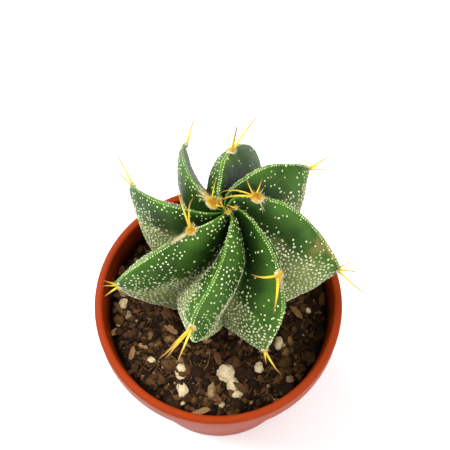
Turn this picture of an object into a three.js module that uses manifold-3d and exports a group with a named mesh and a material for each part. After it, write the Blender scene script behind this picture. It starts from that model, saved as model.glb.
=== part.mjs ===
// A young star cactus in a small terracotta-coloured plastic pot, in millimetres, +Z up.
// The origin is the centre of the pot's underside. The plant stands a little behind the
// middle of the pot and leans back. It has eight deep ribs that turn clockwise, seen from
// above, from the sunken crown out to their tips, and then taper down to a narrow base.
import * as THREE from 'three';
import { mergeVertices } from 'three/addons/utils/BufferGeometryUtils.js';
import Module from 'manifold-3d';

const wasm = await Module();
wasm.setup();

const DEG = Math.PI / 180;

// Pot: thin moulded plastic with a thick collar at the rim and drain holes in its floor
const POT_HEIGHT = 48;
const RIM_R = 27.5;
const LIP_WIDTH = 1.9;
const COLLAR_HEIGHT = 7;
const COLLAR_STEP = 1.3;
const FOOT_R = 19.6;
const WALL = 1.0;
const FLOOR = 1.2;
const EDGE = 0.5;
const POT_SIDES = 64;
const DRAIN_HOLES = 6;
const DRAIN_R = 2.4;
const DRAIN_RING_R = 15.0;

// Soil: a filled body with a lumpy top, a small clearance off the pot all round
const SOIL_DROP = 7;
const CLEARANCE = 0.3;
const SOIL_SIDES = 48;
const SOIL_RINGS = 7;
const SOIL_SWELL = 0.45;

// Plant: where its base stands in the pot, and how far it leans back
const BASE_X = 1.5;
const BASE_Y = 7.5;
const LEAN = 5 * DEG;

// Rib crests: r is measured from the plant's own axis and z from the soil at its base
const CREST_TOP = 36.7;
const CREST_BASE_R = 14.4;
const VALLEY_R = 14.3;
const VALLEY_TOP = 27.5;
const VALLEY_WIDE_Z = 12;
const VALLEY_BASE_R = 10.6;
const APEX_DIP = 1.8;
const APEX_DIP_R = 2.2;
const APEX_FILL = CREST_TOP - APEX_DIP - VALLEY_TOP;
const APEX_FILL_R = 2.6;
const CROWN_SHARE = 0.34;
const SWIRL = 41 * DEG;
const CURL_POWER = 14;
const CROWN_POWER = 1.6;
const CREST_ROUND = 0.05;
const ROOT_DEPTH = 13;
const ROOT_R = 3.6;
const NOTCH = 0.55;
const NOTCH_LENGTH = 0.05;

// One row for each rib, counter-clockwise from above: crown and tip angle of the crest in
// degrees, how far the tip itself curls over, how far the tip reaches and how high it
// stands, how steeply the crest arches over to it (1 is an ellipse) and how full it is
// below. Then where the valley lies on the way to the next crest, near the crown (fold) and
// further out (foot), how full the flanks are on the clockwise (cw) and the other side
// (ccw), and how much faster the clockwise flank falls than it narrows (steep).
const RIBS = [
  {
    crown: 216, tip: 204.3, curl: 0, reach: 25.3, high: 20.2, arch: 1.2, full: 1.3,
    fold: 0.87, foot: 0.38, cw: 0.4, ccw: 1.05, steep: 2.0,
  },
  {
    crown: 271, tip: 253.6, curl: -5, reach: 24.1, high: 21.0, arch: 1.0, full: 1.2,
    fold: 0.8, foot: 0.4, cw: 0.5, ccw: 1.05, steep: 1.3,
  },
  {
    crown: 326, tip: 290, curl: 9.5, reach: 24.8, high: 15.4, arch: 1.5, full: 1.2,
    fold: 0.4, foot: 0.4, cw: 0.75, ccw: 0.85, steep: 1.0,
  },
  {
    crown: 378, tip: 347, curl: -2.5, reach: 25.3, high: 17.8, arch: 1.5, full: 1.0,
    fold: 0.45, foot: 0.45, cw: 0.75, ccw: 0.85, steep: 1.0,
  },
  {
    crown: 419, tip: 402.6, curl: -5.5, reach: 24.8, high: 22.2, arch: 1.27, full: 0.65,
    fold: 0.5, foot: 0.45, cw: 0.55, ccw: 0.85, steep: 1.2,
  },
  {
    crown: 456.5, tip: 434.4, curl: 2.5, reach: 23.6, high: 19.8, arch: 1.27, full: 0.55,
    fold: 0.8, foot: 0.8, cw: 1.3, ccw: 0.85, steep: 1.0,
  },
  {
    crown: 496.5, tip: 472, curl: -2.5, reach: 24.2, high: 21.3, arch: 1.1, full: 0.8,
    fold: 0.5, foot: 0.5, cw: 0.2, ccw: 0.85, steep: 3.5,
  },
  {
    crown: 540, tip: 509, curl: 1, reach: 24.0, high: 20.8, arch: 1.0, full: 2.2,
    fold: 0.5, foot: 0.5, cw: 0.3, ccw: 0.95, steep: 2.5,
  },
];

// Areoles: rib, place along the crest (0 crown, 1 tip, 2 soil), wool size in mm, and the
// spines as [turn, tilt, length]. Turn 0 points down the rib and 90 to its left, seen from
// outside with the crown at the top. Tilt 0 stands straight out of the crest.
const AREOLES = [
  { rib: 0, at: 0.235, wool: 1.5, spines: [[115, 46, 9.8], [147, 38, 7.7]] },
  { rib: 0, at: 1.03, wool: 1.3, spines: [[174, 49, 3.5], [216, 39, 3.7], [157, 62, 3.2]] },
  { rib: 0, at: 1.72, wool: 1, spines: [] },
  { rib: 1, at: 0.03, wool: 0.9, spines: [[46, 20, 2.8], [355, 19, 2.6], [336, 60, 2.4]] },
  { rib: 1, at: 0.84, wool: 1.2, spines: [[62, 34, 5.5], [44, 39, 7.3], [42, 40, 8.3], [15, 38, 6.8]] },
  { rib: 1, at: 1.72, wool: 1, spines: [] },
  { rib: 2, at: 0.06, wool: 0.6, spines: [[170, 45, 1.8]] },
  { rib: 2, at: 0.47, wool: 1.5, spines: [[110, 71, 8.5], [49, 54, 9.9], [197, 18, 1.8]] },
  { rib: 2, at: 1.03, wool: 1.1, spines: [[347, 44, 8.9], [5, 40, 3.5]] },
  { rib: 2, at: 1.72, wool: 1, spines: [] },
  {
    rib: 3, at: 0.19, wool: 1.9,
    spines: [[193, 40, 5.9], [256, 13, 4.2], [154, 73, 10.3], [160, 68, 9.9]],
  },
  { rib: 3, at: 0.97, wool: 1.3, spines: [[150, 45, 6.1], [38, 41, 7], [280, 45, 4]] },
  { rib: 3, at: 1.72, wool: 1, spines: [] },
  { rib: 4, at: 0.95, wool: 1.4, spines: [[152, 46, 5.8], [131, 70, 4.8], [20, 40, 4]] },
  { rib: 4, at: 1.4, wool: 1.1, spines: [[0, 60, 2.5]] },
  { rib: 5, at: 0.06, wool: 0.8, spines: [[180, 45, 2.2]] },
  { rib: 5, at: 0.5, wool: 1.6, spines: [[141, 26, 8.6], [48, 41, 10.4]] },
  { rib: 5, at: 1.05, wool: 1.3, spines: [[0, 55, 3]] },
  { rib: 6, at: 0.08, wool: 1.9, spines: [[38, 28, 6], [322, 47, 4.9], [344, 30, 4.5], [182, 42, 3.2]] },
  { rib: 6, at: 0.87, wool: 1.2, spines: [[48, 48, 8]] },
  { rib: 6, at: 1.4, wool: 1.1, spines: [[0, 60, 2.5]] },
  { rib: 7, at: 0.93, wool: 1.3, spines: [[86, 33, 8], [32, 35, 5.2]] },
  { rib: 7, at: 1.5, wool: 1.1, spines: [] },
];
const SPINE_R = 0.36;
const SPINE_ROOT = 0.9;
const SPINE_BEND = 0.1;
const WOOL_FLAT = 0.6;

// Stones and bark bits on the soil: how many, and the range of their half-sizes
const BITS = 40;
const BIT_MIN = 1.1;
const BIT_MAX = 2.7;
const LARGE_BIT = 2.1;

// Crumbs and slivers finer than this are smoothed away after a union
const FINEST = 0.03;

// A small seeded generator, so that every build is the same
function seeded(seed) {
  let state = seed >>> 0;
  return () => {
    state = (Math.imul(state, 1664525) + 1013904223) >>> 0;
    return state / 4294967296;
  };
}

function toSolid(geometry) {
  const bare = geometry.clone();
  for (const name of Object.keys(bare.attributes)) {
    if (name !== 'position') bare.deleteAttribute(name);
  }
  const merged = mergeVertices(bare, 1e-4);
  return new wasm.Manifold(new wasm.Mesh({
    numProp: 3,
    vertProperties: new Float32Array(merged.attributes.position.array),
    triVerts: new Uint32Array(merged.index.array),
  }));
}

function toGeometry(solid) {
  const mesh = solid.getMesh();
  const geometry = new THREE.BufferGeometry();
  geometry.setAttribute('position', new THREE.BufferAttribute(mesh.vertProperties, 3));
  geometry.setIndex(new THREE.BufferAttribute(mesh.triVerts, 1));
  geometry.computeVertexNormals();
  return geometry;
}

// The largest closed skin of a solid, without loose crumbs or pockets left inside it
function outerSkin(solid) {
  return solid.simplify(FINEST).decompose().reduce((best, next) => (next.volume() > best.volume() ? next : best));
}

// A closed solid of revolution about Z, from [r, z] points listed bottom to top outside
function turned(points, sides) {
  const lathe = new THREE.LatheGeometry(points.map(([r, z]) => new THREE.Vector2(r, z)), sides);
  lathe.rotateX(Math.PI / 2);
  return toSolid(lathe);
}

// A closed skin from rows of points, with one point at each end
function skin(first, rows, last) {
  const around = rows[0].length;
  const points = [first, ...rows.flat(), last];
  const index = [];
  const at = (row, i) => 1 + row * around + (i % around);
  for (let i = 0; i < around; i++) {
    index.push(0, at(0, i), at(0, i + 1));
    for (let row = 0; row + 1 < rows.length; row++) {
      index.push(at(row, i), at(row + 1, i), at(row + 1, i + 1));
      index.push(at(row, i), at(row + 1, i + 1), at(row, i + 1));
    }
    index.push(points.length - 1, at(rows.length - 1, i + 1), at(rows.length - 1, i));
  }
  const geometry = new THREE.BufferGeometry().setFromPoints(points);
  geometry.setIndex(index);
  return toSolid(geometry);
}

// Pot
function innerWallR(z) {
  const top = RIM_R - LIP_WIDTH;
  return FOOT_R - WALL + (top - FOOT_R + WALL) * (z / POT_HEIGHT);
}

function potSolid() {
  const collarZ = POT_HEIGHT - COLLAR_HEIGHT;
  const wallTopR = RIM_R - COLLAR_STEP;
  const body = turned([
    [0, 0],
    [FOOT_R - EDGE, 0],
    [FOOT_R, EDGE],
    [wallTopR - 0.15, collarZ - 0.4],
    [wallTopR + 0.2, collarZ],
    [RIM_R - 0.4, collarZ + 0.2],
    [RIM_R - 0.1, collarZ + 0.6],
    [RIM_R, POT_HEIGHT - 0.9],
    [RIM_R - 0.25, POT_HEIGHT - 0.25],
    [RIM_R - 0.7, POT_HEIGHT],
    [RIM_R - LIP_WIDTH + 0.5, POT_HEIGHT],
    [RIM_R - LIP_WIDTH, POT_HEIGHT - 0.6],
    [innerWallR(FLOOR + 1.2), FLOOR + 1.2],
    [innerWallR(FLOOR) - 0.9, FLOOR],
    [0, FLOOR],
  ], POT_SIDES);
  const holes = [];
  for (let i = 0; i < DRAIN_HOLES; i++) {
    const angle = (i + 0.5) * 2 * Math.PI / DRAIN_HOLES;
    const drill = new THREE.CylinderGeometry(DRAIN_R, DRAIN_R, 3 * FLOOR, 12);
    drill.rotateX(Math.PI / 2);
    drill.translate(DRAIN_RING_R * Math.cos(angle), DRAIN_RING_R * Math.sin(angle), FLOOR / 2);
    holes.push(toSolid(drill));
  }
  return holes.reduce((left, hole) => left.subtract(hole), body);
}

// Rib crests and the valleys between them, s from 0 at the crown through 1 at the tip to 2
// at the soil and 3 at the root's end. Each gives the distance from the axis and the height.
function crestPoint(rib, s) {
  if (s <= 1) {
    const turn = s * Math.PI / 2;
    const r = rib.reach * Math.sin(turn);
    const dip = APEX_DIP * Math.exp(-((r / APEX_DIP_R) ** 2));
    return [r, rib.high + (CREST_TOP - rib.high) * Math.abs(Math.cos(turn)) ** rib.arch - dip];
  }
  if (s <= 2) {
    const down = s - 1;
    const r = CREST_BASE_R + (rib.reach - CREST_BASE_R) * (1 - down ** rib.full);
    return [r, rib.high * (1 - down)];
  }
  const below = s - 2;
  return [ROOT_R + (CREST_BASE_R - ROOT_R) * (1 - below ** 1.6), -ROOT_DEPTH * below];
}

function valleyPoint(s) {
  if (s <= 1) {
    const turn = s * Math.PI / 2;
    const r = VALLEY_R * Math.sin(turn);
    const fill = APEX_FILL * Math.exp(-((r / APEX_FILL_R) ** 2));
    return [r, VALLEY_WIDE_Z + (VALLEY_TOP - VALLEY_WIDE_Z) * Math.cos(turn) + fill];
  }
  if (s <= 2) {
    const down = s - 1;
    const r = VALLEY_BASE_R + (VALLEY_R - VALLEY_BASE_R) * (1 - down ** 2);
    return [r, VALLEY_WIDE_Z * (1 - down)];
  }
  const below = s - 2;
  return [ROOT_R + (VALLEY_BASE_R - ROOT_R) * (1 - below ** 1.6), -ROOT_DEPTH * below];
}

// The angle of a crest: it turns evenly with the distance from the axis, faster close to
// the crown, and stays as it is below the tip
function crestAngle(rib, s) {
  const out = s < 1 ? Math.sin(s * Math.PI / 2) : 1;
  const turn = (rib.crown - rib.tip - rib.curl) * (1 - out) / (1 - CROWN_SHARE);
  const curl = rib.curl * (1 - out ** CURL_POWER);
  return (rib.tip + turn + curl) * DEG + SWIRL * Math.max(0, 1 - out / CROWN_SHARE) ** 2;
}

// The angle of the valley after a rib: it moves from its fold near the crown to its foot
function valleyAngle(index, s) {
  const rib = ribRow(index);
  const out = s < 1 ? Math.sin(s * Math.PI / 2) : 1;
  const share = Math.max(0, out - CROWN_SHARE) / (1 - CROWN_SHARE);
  const fold = rib.fold + (rib.foot - rib.fold) * share;
  const from = crestAngle(rib, s);
  return from + fold * (crestAngle(ribRow(index + 1), s) - from);
}

// How much of the way from valley to crest the flank stands, across from crest (0) to
// valley (1): rounded over the top near the crown, and a keener ridge towards the tip
function flank(across, s, fullness) {
  const power = fullness + CROWN_POWER * Math.max(0, 1 - s);
  const at = (x) => (x * x + CREST_ROUND * CREST_ROUND) ** (power / 2);
  return 1 - (at(across) - at(0)) / (at(1) - at(0));
}

function ribRow(index) {
  const turns = Math.floor(index / RIBS.length);
  const number = index - turns * RIBS.length;
  const rib = RIBS[number];
  return { ...rib, number, crown: rib.crown + 360 * turns, tip: rib.tip + 360 * turns };
}

// A point of the stem. a counts ribs: whole numbers are crests and halves are valleys.
function stemPoint(a, s) {
  const left = Math.floor(a);
  const nearest = Math.round(a);
  const clockwise = a < nearest;
  const own = ribRow(nearest);
  const across = 1 - Math.abs(1 - 2 * (a - left));
  const stand = flank(across, s, clockwise ? own.cw : own.ccw);
  const [crestR, crestZ] = crestPoint(own, s);
  const [valleyR, valleyZ] = valleyPoint(s);
  const from = crestAngle(own, s);
  const angle = from + across * (valleyAngle(left, s) - from);
  let r = valleyR + (crestR - valleyR) * stand;
  for (const areole of AREOLES) {
    if (areole.rib !== own.number) continue;
    r -= NOTCH * Math.min(1, r / 8) * stand ** 4 * Math.exp(-(((s - areole.at) / NOTCH_LENGTH) ** 2));
  }
  const z = valleyZ + (crestZ - valleyZ) * stand ** (clockwise ? own.steep : 1);
  return new THREE.Vector3(r * Math.cos(angle), r * Math.sin(angle), z);
}

// Directions on a crest: straight out of it, down the rib, and to its left
function crestFrame(a, s) {
  const step = 0.02;
  const down = stemPoint(a, s + step).sub(stemPoint(a, Math.max(0.001, s - step))).normalize();
  const angle = crestAngle(ribRow(a), s);
  const side = new THREE.Vector3(-Math.sin(angle), Math.cos(angle), 0);
  const out = new THREE.Vector3().crossVectors(down, side).normalize();
  const left = new THREE.Vector3().crossVectors(down, out).normalize();
  return { out, down, left };
}

function stemBody() {
  const acrosses = [0, 0.07, 0.22, 0.46, 0.74];
  const columns = [];
  RIBS.forEach((rib, k) => {
    for (const across of acrosses) columns.push(k + across / 2);
    columns.push(k + 0.5);
    for (const across of acrosses.slice(1).reverse()) columns.push(k + 1 - across / 2);
  });
  const upper = [0.03, 0.06, 0.1, 0.15, 0.2, 0.26, 0.33, 0.4, 0.48, 0.56, 0.64, 0.72, 0.79, 0.85, 0.9, 0.95];
  const lower = [1, 1.06, 1.15, 1.26, 1.4, 1.55, 1.7, 1.85, 2, 2.2, 2.5, 2.8, 3];
  const rows = [...upper, ...lower].map((s) => columns.map((a) => stemPoint(a, s)));
  const apex = new THREE.Vector3(0, 0, CREST_TOP - APEX_DIP);
  const rootEnd = new THREE.Vector3(0, 0, -ROOT_DEPTH - ROOT_R / 2);
  return skin(apex, rows, rootEnd);
}

// A curved, tapering, three-sided spine with its root sunk into the areole
function spineSolid(foot, direction, bend, length) {
  const sideways = new THREE.Vector3().crossVectors(direction, bend).normalize();
  const upright = new THREE.Vector3().crossVectors(sideways, direction).normalize();
  const along = (t) => foot.clone()
    .addScaledVector(direction, t * length - SPINE_ROOT)
    .addScaledVector(bend, SPINE_BEND * length * t * t);
  const thick = [[0, 1], [0.6, 0.8]];
  const rows = thick.map(([t, share]) => [0, 1, 2].map((i) => {
    const turn = i * 2 * Math.PI / 3;
    return along(t)
      .addScaledVector(upright, SPINE_R * share * Math.cos(turn))
      .addScaledVector(sideways, SPINE_R * share * Math.sin(turn));
  }));
  const solid = skin(along(1), rows.reverse(), along(0));
  return solid;
}

function areoleSolids(areole) {
  const foot = stemPoint(areole.rib, areole.at);
  const { out, down, left } = crestFrame(areole.rib, areole.at);
  const pad = new THREE.IcosahedronGeometry(1, 0);
  pad.scale(areole.wool * 0.8, areole.wool, areole.wool * WOOL_FLAT);
  pad.applyMatrix4(new THREE.Matrix4().makeBasis(left, down, out.clone()).setPosition(foot));
  const solids = [toSolid(pad)];
  for (const [turn, tilt, length] of areole.spines) {
    const flat = down.clone().multiplyScalar(Math.cos(turn * DEG)).addScaledVector(left, Math.sin(turn * DEG));
    const direction = out.clone().multiplyScalar(Math.cos(tilt * DEG)).addScaledVector(flat, Math.sin(tilt * DEG));
    const start = foot.clone().addScaledVector(flat, areole.wool * 0.35).addScaledVector(out, 0.25);
    solids.push(spineSolid(start, direction, out, length));
  }
  return solids;
}

function cactusSolid() {
  const pieces = [stemBody(), ...AREOLES.flatMap(areoleSolids)];
  return outerSkin(wasm.Manifold.union(pieces));
}

// Soil: a gently swelling top with rounded stones and bark bits half sunk in it
function soilTop(x, y) {
  const soft = Math.sin(0.55 * x + 1.3) * Math.cos(0.48 * y - 0.4) + 0.6 * Math.sin(0.9 * y + 0.7 * x);
  return POT_HEIGHT - SOIL_DROP + SOIL_SWELL * soft;
}

function soilSolid() {
  const rows = [];
  const edgeR = innerWallR(POT_HEIGHT - SOIL_DROP) - CLEARANCE;
  for (let ring = 1; ring <= SOIL_RINGS; ring++) {
    const r = edgeR * ring / SOIL_RINGS;
    rows.push(Array.from({ length: SOIL_SIDES }, (_, i) => {
      const angle = i * 2 * Math.PI / SOIL_SIDES;
      const sunk = ring === SOIL_RINGS ? 1.0 : 0;
      const [x, y] = [r * Math.cos(angle), r * Math.sin(angle)];
      return new THREE.Vector3(x, y, soilTop(x, y) - sunk);
    }));
  }
  for (const z of [FLOOR + 1.6, FLOOR + CLEARANCE]) {
    const r = innerWallR(z) - CLEARANCE - (z < FLOOR + 1 ? 1.2 : 0);
    rows.push(Array.from({ length: SOIL_SIDES }, (_, i) => {
      const angle = i * 2 * Math.PI / SOIL_SIDES;
      return new THREE.Vector3(r * Math.cos(angle), r * Math.sin(angle), z);
    }));
  }
  const middle = new THREE.Vector3(0, 0, soilTop(0, 0));
  const bottom = new THREE.Vector3(0, 0, FLOOR + CLEARANCE);
  const random = seeded(23);
  const bits = [];
  while (bits.length < BITS) {
    const r = (edgeR - 2.4) * Math.sqrt(random());
    const angle = 2 * Math.PI * random();
    const size = BIT_MIN + (BIT_MAX - BIT_MIN) * random() ** 2;
    const [x, y] = [r * Math.cos(angle), r * Math.sin(angle)];
    const spin = [random(), random(), random()].map((share) => Math.PI * share);
    const length = 1 + 0.6 * random();
    if (Math.hypot(x - BASE_X, y - BASE_Y) < CREST_BASE_R - 1) continue;
    const bit = new THREE.IcosahedronGeometry(size, size > LARGE_BIT ? 1 : 0);
    bit.scale(length, 0.9, 0.75);
    bit.rotateX(spin[0] * 0.2);
    bit.rotateY(spin[1] * 0.2);
    bit.rotateZ(spin[2] * 2);
    bit.translate(x, y, soilTop(x, y) + 0.1 * size);
    bits.push(toSolid(bit));
  }
  const keep = turned([
    [0, FLOOR + 1],
    [innerWallR(FLOOR + 1) - CLEARANCE, FLOOR + 1],
    [innerWallR(POT_HEIGHT) - CLEARANCE, POT_HEIGHT],
    [0, POT_HEIGHT],
  ], POT_SIDES);
  const stones = wasm.Manifold.union(bits).intersect(keep);
  return outerSkin(skin(middle, rows, bottom).add(stones).subtract(plantHole()));
}

// The plain hole in the soil that the stem and its root stand in
function plantHole() {
  const widest = { reach: 25.5, high: 20, full: 2.8 };
  const points = [[0, -ROOT_DEPTH - ROOT_R / 2 - 2 * CLEARANCE]];
  for (const s of [3, 2.8, 2.5, 2.2, 2, 1.85, 1.7, 1.5]) {
    const [r, z] = crestPoint(widest, s);
    points.push([r + CLEARANCE, z - (s === 3 ? CLEARANCE : 0)]);
  }
  points.push([0, points.at(-1)[1]]);
  const lathe = new THREE.LatheGeometry(points.map(([r, z]) => new THREE.Vector2(r, z)), 40);
  lathe.rotateX(Math.PI / 2);
  lathe.rotateX(-LEAN);
  lathe.translate(BASE_X, BASE_Y, POT_HEIGHT - SOIL_DROP);
  return toSolid(lathe);
}

function named(name, solid, color, roughness) {
  const material = new THREE.MeshStandardMaterial({ color, roughness, metalness: 0 });
  const mesh = new THREE.Mesh(toGeometry(solid), material);
  mesh.name = name;
  return mesh;
}

const plant = new THREE.Group();
plant.position.set(BASE_X, BASE_Y, POT_HEIGHT - SOIL_DROP);
plant.rotation.x = -LEAN;
plant.add(named('cactus', cactusSolid(), 0x2f5a1e, 0.55));

const model = new THREE.Group();
model.add(named('pot', potSolid(), 0xc8552b, 0.45));
model.add(named('soil', soilSolid(), 0x3a281c, 0.95));
model.add(plant);

export default model;
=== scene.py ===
# %% [markdown]
# # A young star cactus in a small plastic pot
# The photograph looks steeply down on one potted cactus. This lesson dresses its plain CAD
# model: a moulded pot, a bed of potting mix, and a ribbed stem with felt flecks, wool and
# spines. The CAD solids are loaded first, because every piece has to lie where they lie.

# %% Load the plain model
import math

import bpy
import numpy as np
from mathutils import Matrix, Vector


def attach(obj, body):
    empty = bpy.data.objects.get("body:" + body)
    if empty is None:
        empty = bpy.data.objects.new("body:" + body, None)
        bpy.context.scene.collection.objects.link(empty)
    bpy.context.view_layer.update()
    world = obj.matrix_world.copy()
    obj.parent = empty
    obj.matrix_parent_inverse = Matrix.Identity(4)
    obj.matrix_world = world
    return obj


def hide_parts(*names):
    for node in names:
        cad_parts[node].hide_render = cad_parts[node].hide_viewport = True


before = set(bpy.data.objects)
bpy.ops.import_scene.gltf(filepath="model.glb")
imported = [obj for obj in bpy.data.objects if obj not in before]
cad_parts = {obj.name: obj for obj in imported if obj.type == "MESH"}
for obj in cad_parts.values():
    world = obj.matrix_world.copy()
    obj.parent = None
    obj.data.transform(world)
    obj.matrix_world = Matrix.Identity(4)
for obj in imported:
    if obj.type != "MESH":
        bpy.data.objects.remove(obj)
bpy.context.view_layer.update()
MM = 0.001
DEGREE = math.pi / 180

# %% [markdown]
# ## The camera
# A round rim photographs as an ellipse, and the ellipse's shape and size give the camera's
# height and distance. Here they say: 300 mm away, 68 degrees above the horizon. The focal
# length is given in pixels of the photograph and turned into millimetres on the sensor.

# %% Set up the camera
CAMERA_TARGET = Vector((1.47, 18.2, 48.0)) * MM
CAMERA_DISTANCE = 300 * MM
CAMERA_ELEVATION = 68.47 * DEGREE
FOCAL_PIXELS = 1324
FRAME_PIXELS = 450
SENSOR_WIDTH = 36.0


def add_camera():
    data = bpy.data.cameras.new("camera")
    data.sensor_width = SENSOR_WIDTH
    data.lens = SENSOR_WIDTH * FOCAL_PIXELS / FRAME_PIXELS
    data.clip_start = 10 * MM
    camera = bpy.data.objects.new("camera", data)
    back = Vector((0, -math.cos(CAMERA_ELEVATION), math.sin(CAMERA_ELEVATION)))
    camera.location = CAMERA_TARGET + back * CAMERA_DISTANCE
    camera.rotation_euler = back.to_track_quat("Z", "Y").to_euler()
    bpy.context.scene.collection.objects.link(camera)
    bpy.context.scene.camera = camera
    return camera


camera = add_camera()
print("lens in mm:", round(camera.data.lens, 1))

# %% [markdown]
# ## Sums on sockets
# A material or a Geometry Nodes tree is a web of small nodes. Wiring each sum by hand is
# slow to read, so this class wraps a socket: `1 - mask` then adds its own Math node. Colours
# and vectors go through their own nodes, because a Math node would turn a colour grey.

# %% A socket that can do sums


class Value:
    """A node socket. Each sum on it adds one Math node to the same tree."""

    def __init__(self, graph, socket):
        self.graph = graph
        self.socket = socket

    def math(self, operation, *others, clamp=False):
        settings = {"operation": operation, "use_clamp": clamp}
        return self.graph.node("ShaderNodeMath", settings, dict(enumerate((self, *others))))

    def swapped(self, operation, other):
        return self.graph.node("ShaderNodeMath", {"operation": operation}, {0: other, 1: self})

    def __add__(self, other):
        return self.math("ADD", other)

    def __sub__(self, other):
        return self.math("SUBTRACT", other)

    def __rsub__(self, other):
        return self.swapped("SUBTRACT", other)

    def __mul__(self, other):
        return self.math("MULTIPLY", other)

    def __truediv__(self, other):
        return self.math("DIVIDE", other)

    def __rtruediv__(self, other):
        return self.swapped("DIVIDE", other)

    def __pow__(self, other):
        return self.math("POWER", other)

    __radd__ = __add__
    __rmul__ = __mul__

    def __abs__(self):
        return self.math("ABSOLUTE")

    def __lt__(self, other):
        return self.math("LESS_THAN", other)

    def __gt__(self, other):
        return self.math("GREATER_THAN", other)

    def floor(self):
        return self.math("FLOOR")

    def clamped(self):
        return self.math("ADD", 0.0, clamp=True)

    def smooth(self, low, high):
        """0 below low, 1 above high, and a soft step between; low may be the larger."""
        settings = {"interpolation_type": "SMOOTHSTEP"}
        sockets = {"Value": self, "From Min": low, "From Max": high}
        return self.graph.node("ShaderNodeMapRange", settings, sockets)

    def towards(self, other, share):
        """This value moved towards another one, by a share from 0 to 1."""
        return self + (other - self) * share

    def output(self, name):
        """Another output of the node that this value comes from."""
        return Value(self.graph, self.socket.node.outputs[name])


class Graph:
    """Adds nodes to one tree, of a material or of Geometry Nodes."""

    def __init__(self, tree):
        self.tree = tree

    def node(self, kind, settings=None, sockets=None, output=0):
        """Adds a node: its settings first, then what its sockets are fed with."""
        made = self.tree.nodes.new(kind)
        for name, value in (settings or {}).items():
            if name == "stops":
                self.fill_ramp(made.color_ramp, value)
            else:
                setattr(made, name, value)
        for key, value in (sockets or {}).items():
            self.feed(made.inputs[key], value)
        return Value(self, made.outputs[output])

    def feed(self, socket, value):
        if isinstance(value, Value):
            self.tree.links.new(value.socket, socket)
        else:
            socket.default_value = value

    def fill_ramp(self, ramp, stops):
        while len(ramp.elements) < len(stops):
            ramp.elements.new(0.5)
        for element, (place, colour) in zip(ramp.elements, stops):
            element.position = place
            element.color = colour

    def blend(self, share, first, second):
        """A colour that goes from the first to the second."""
        sockets = {0: share, 6: first, 7: second}
        return self.node("ShaderNodeMix", {"data_type": "RGBA"}, sockets, output=2)

    def scaled(self, vector, factor):
        sockets = {0: vector, "Scale": factor}
        return self.node("ShaderNodeVectorMath", {"operation": "SCALE"}, sockets)

    def plus(self, first, second):
        return self.node("ShaderNodeVectorMath", {"operation": "ADD"}, {0: first, 1: second})

    def parts(self, vector):
        split = self.node("ShaderNodeSeparateXYZ", None, {0: vector})
        return split, split.output("Y"), split.output("Z")


print("socket sums ready")

# %% [markdown]
# ## Starting a finish
# Every finish here is a Principled shader. What is the same all over a surface is set on
# the shader's own sockets, and only colour, roughness and surface relief are fed by nodes.
# Noise is read from Object coordinates, so that a pattern stays on its piece.

# %% Helpers for finishes


def paint(red, green, blue):
    """A colour from 0 to 255, as seen on a screen, in the linear values that a shader takes."""
    shares = [channel / 255 for channel in (red, green, blue)]
    linear = [c / 12.92 if c <= 0.04045 else ((c + 0.055) / 1.055) ** 2.4 for c in shares]
    return (*linear, 1.0)


class Finish(Graph):
    """A material with one Principled shader and helpers for what feeds it."""

    def __init__(self, name, **constants):
        self.material = bpy.data.materials.new(name)
        self.material.use_nodes = True
        super().__init__(self.material.node_tree)
        self.shader = self.tree.nodes["Principled BSDF"]
        for socket, value in constants.items():
            self.shader.inputs[socket.replace("_", " ")].default_value = value

    def place(self):
        return self.node("ShaderNodeTexCoord", output="Object")

    def attribute(self, name):
        return self.node("ShaderNodeAttribute", {"attribute_name": name}, output="Fac")

    def noise(self, grain_mm, detail=3.0, roughness=0.55):
        sockets = {"Vector": self.place(), "Scale": 1 / (grain_mm * MM)}
        sockets.update({"Detail": detail, "Roughness": roughness})
        return self.node("ShaderNodeTexNoise", None, sockets)

    def ramp(self, place, *stops):
        """A colour that runs through several stops, each a place from 0 to 1 and a colour."""
        return self.node("ShaderNodeValToRGB", {"stops": stops}, {"Fac": place})

    def relief(self, height, depth_mm, strength=1.0):
        sockets = {"Height": height, "Distance": depth_mm * MM, "Strength": strength}
        return self.node("ShaderNodeBump", None, sockets)

    def finish(self, colour=None, roughness=None, normal=None):
        fed = {"Base Color": colour, "Roughness": roughness, "Normal": normal}
        for name, value in fed.items():
            if value is not None:
                self.feed(self.shader.inputs[name], value)
        return self.material


print("finish helpers ready")

# %% [markdown]
# ## Growing pieces with Geometry Nodes
# A tree of Geometry Nodes is a recipe: it takes a small mesh and some sizes, and gives back
# a finished piece. A tree could stay live on its piece. Here its result is turned into a
# plain mesh and the recipe's object is removed, because a plain mesh can be checked,
# exported and carried about with nothing left to work out.

# %% Helpers for Geometry Nodes

# The inputs that are given in mm
LENGTHS = ("Spacing", "Size", "Smallest", "Largest", "Waver")

# The largest random turn about an axis, in radians
FULL_TURN = 6.28


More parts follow.
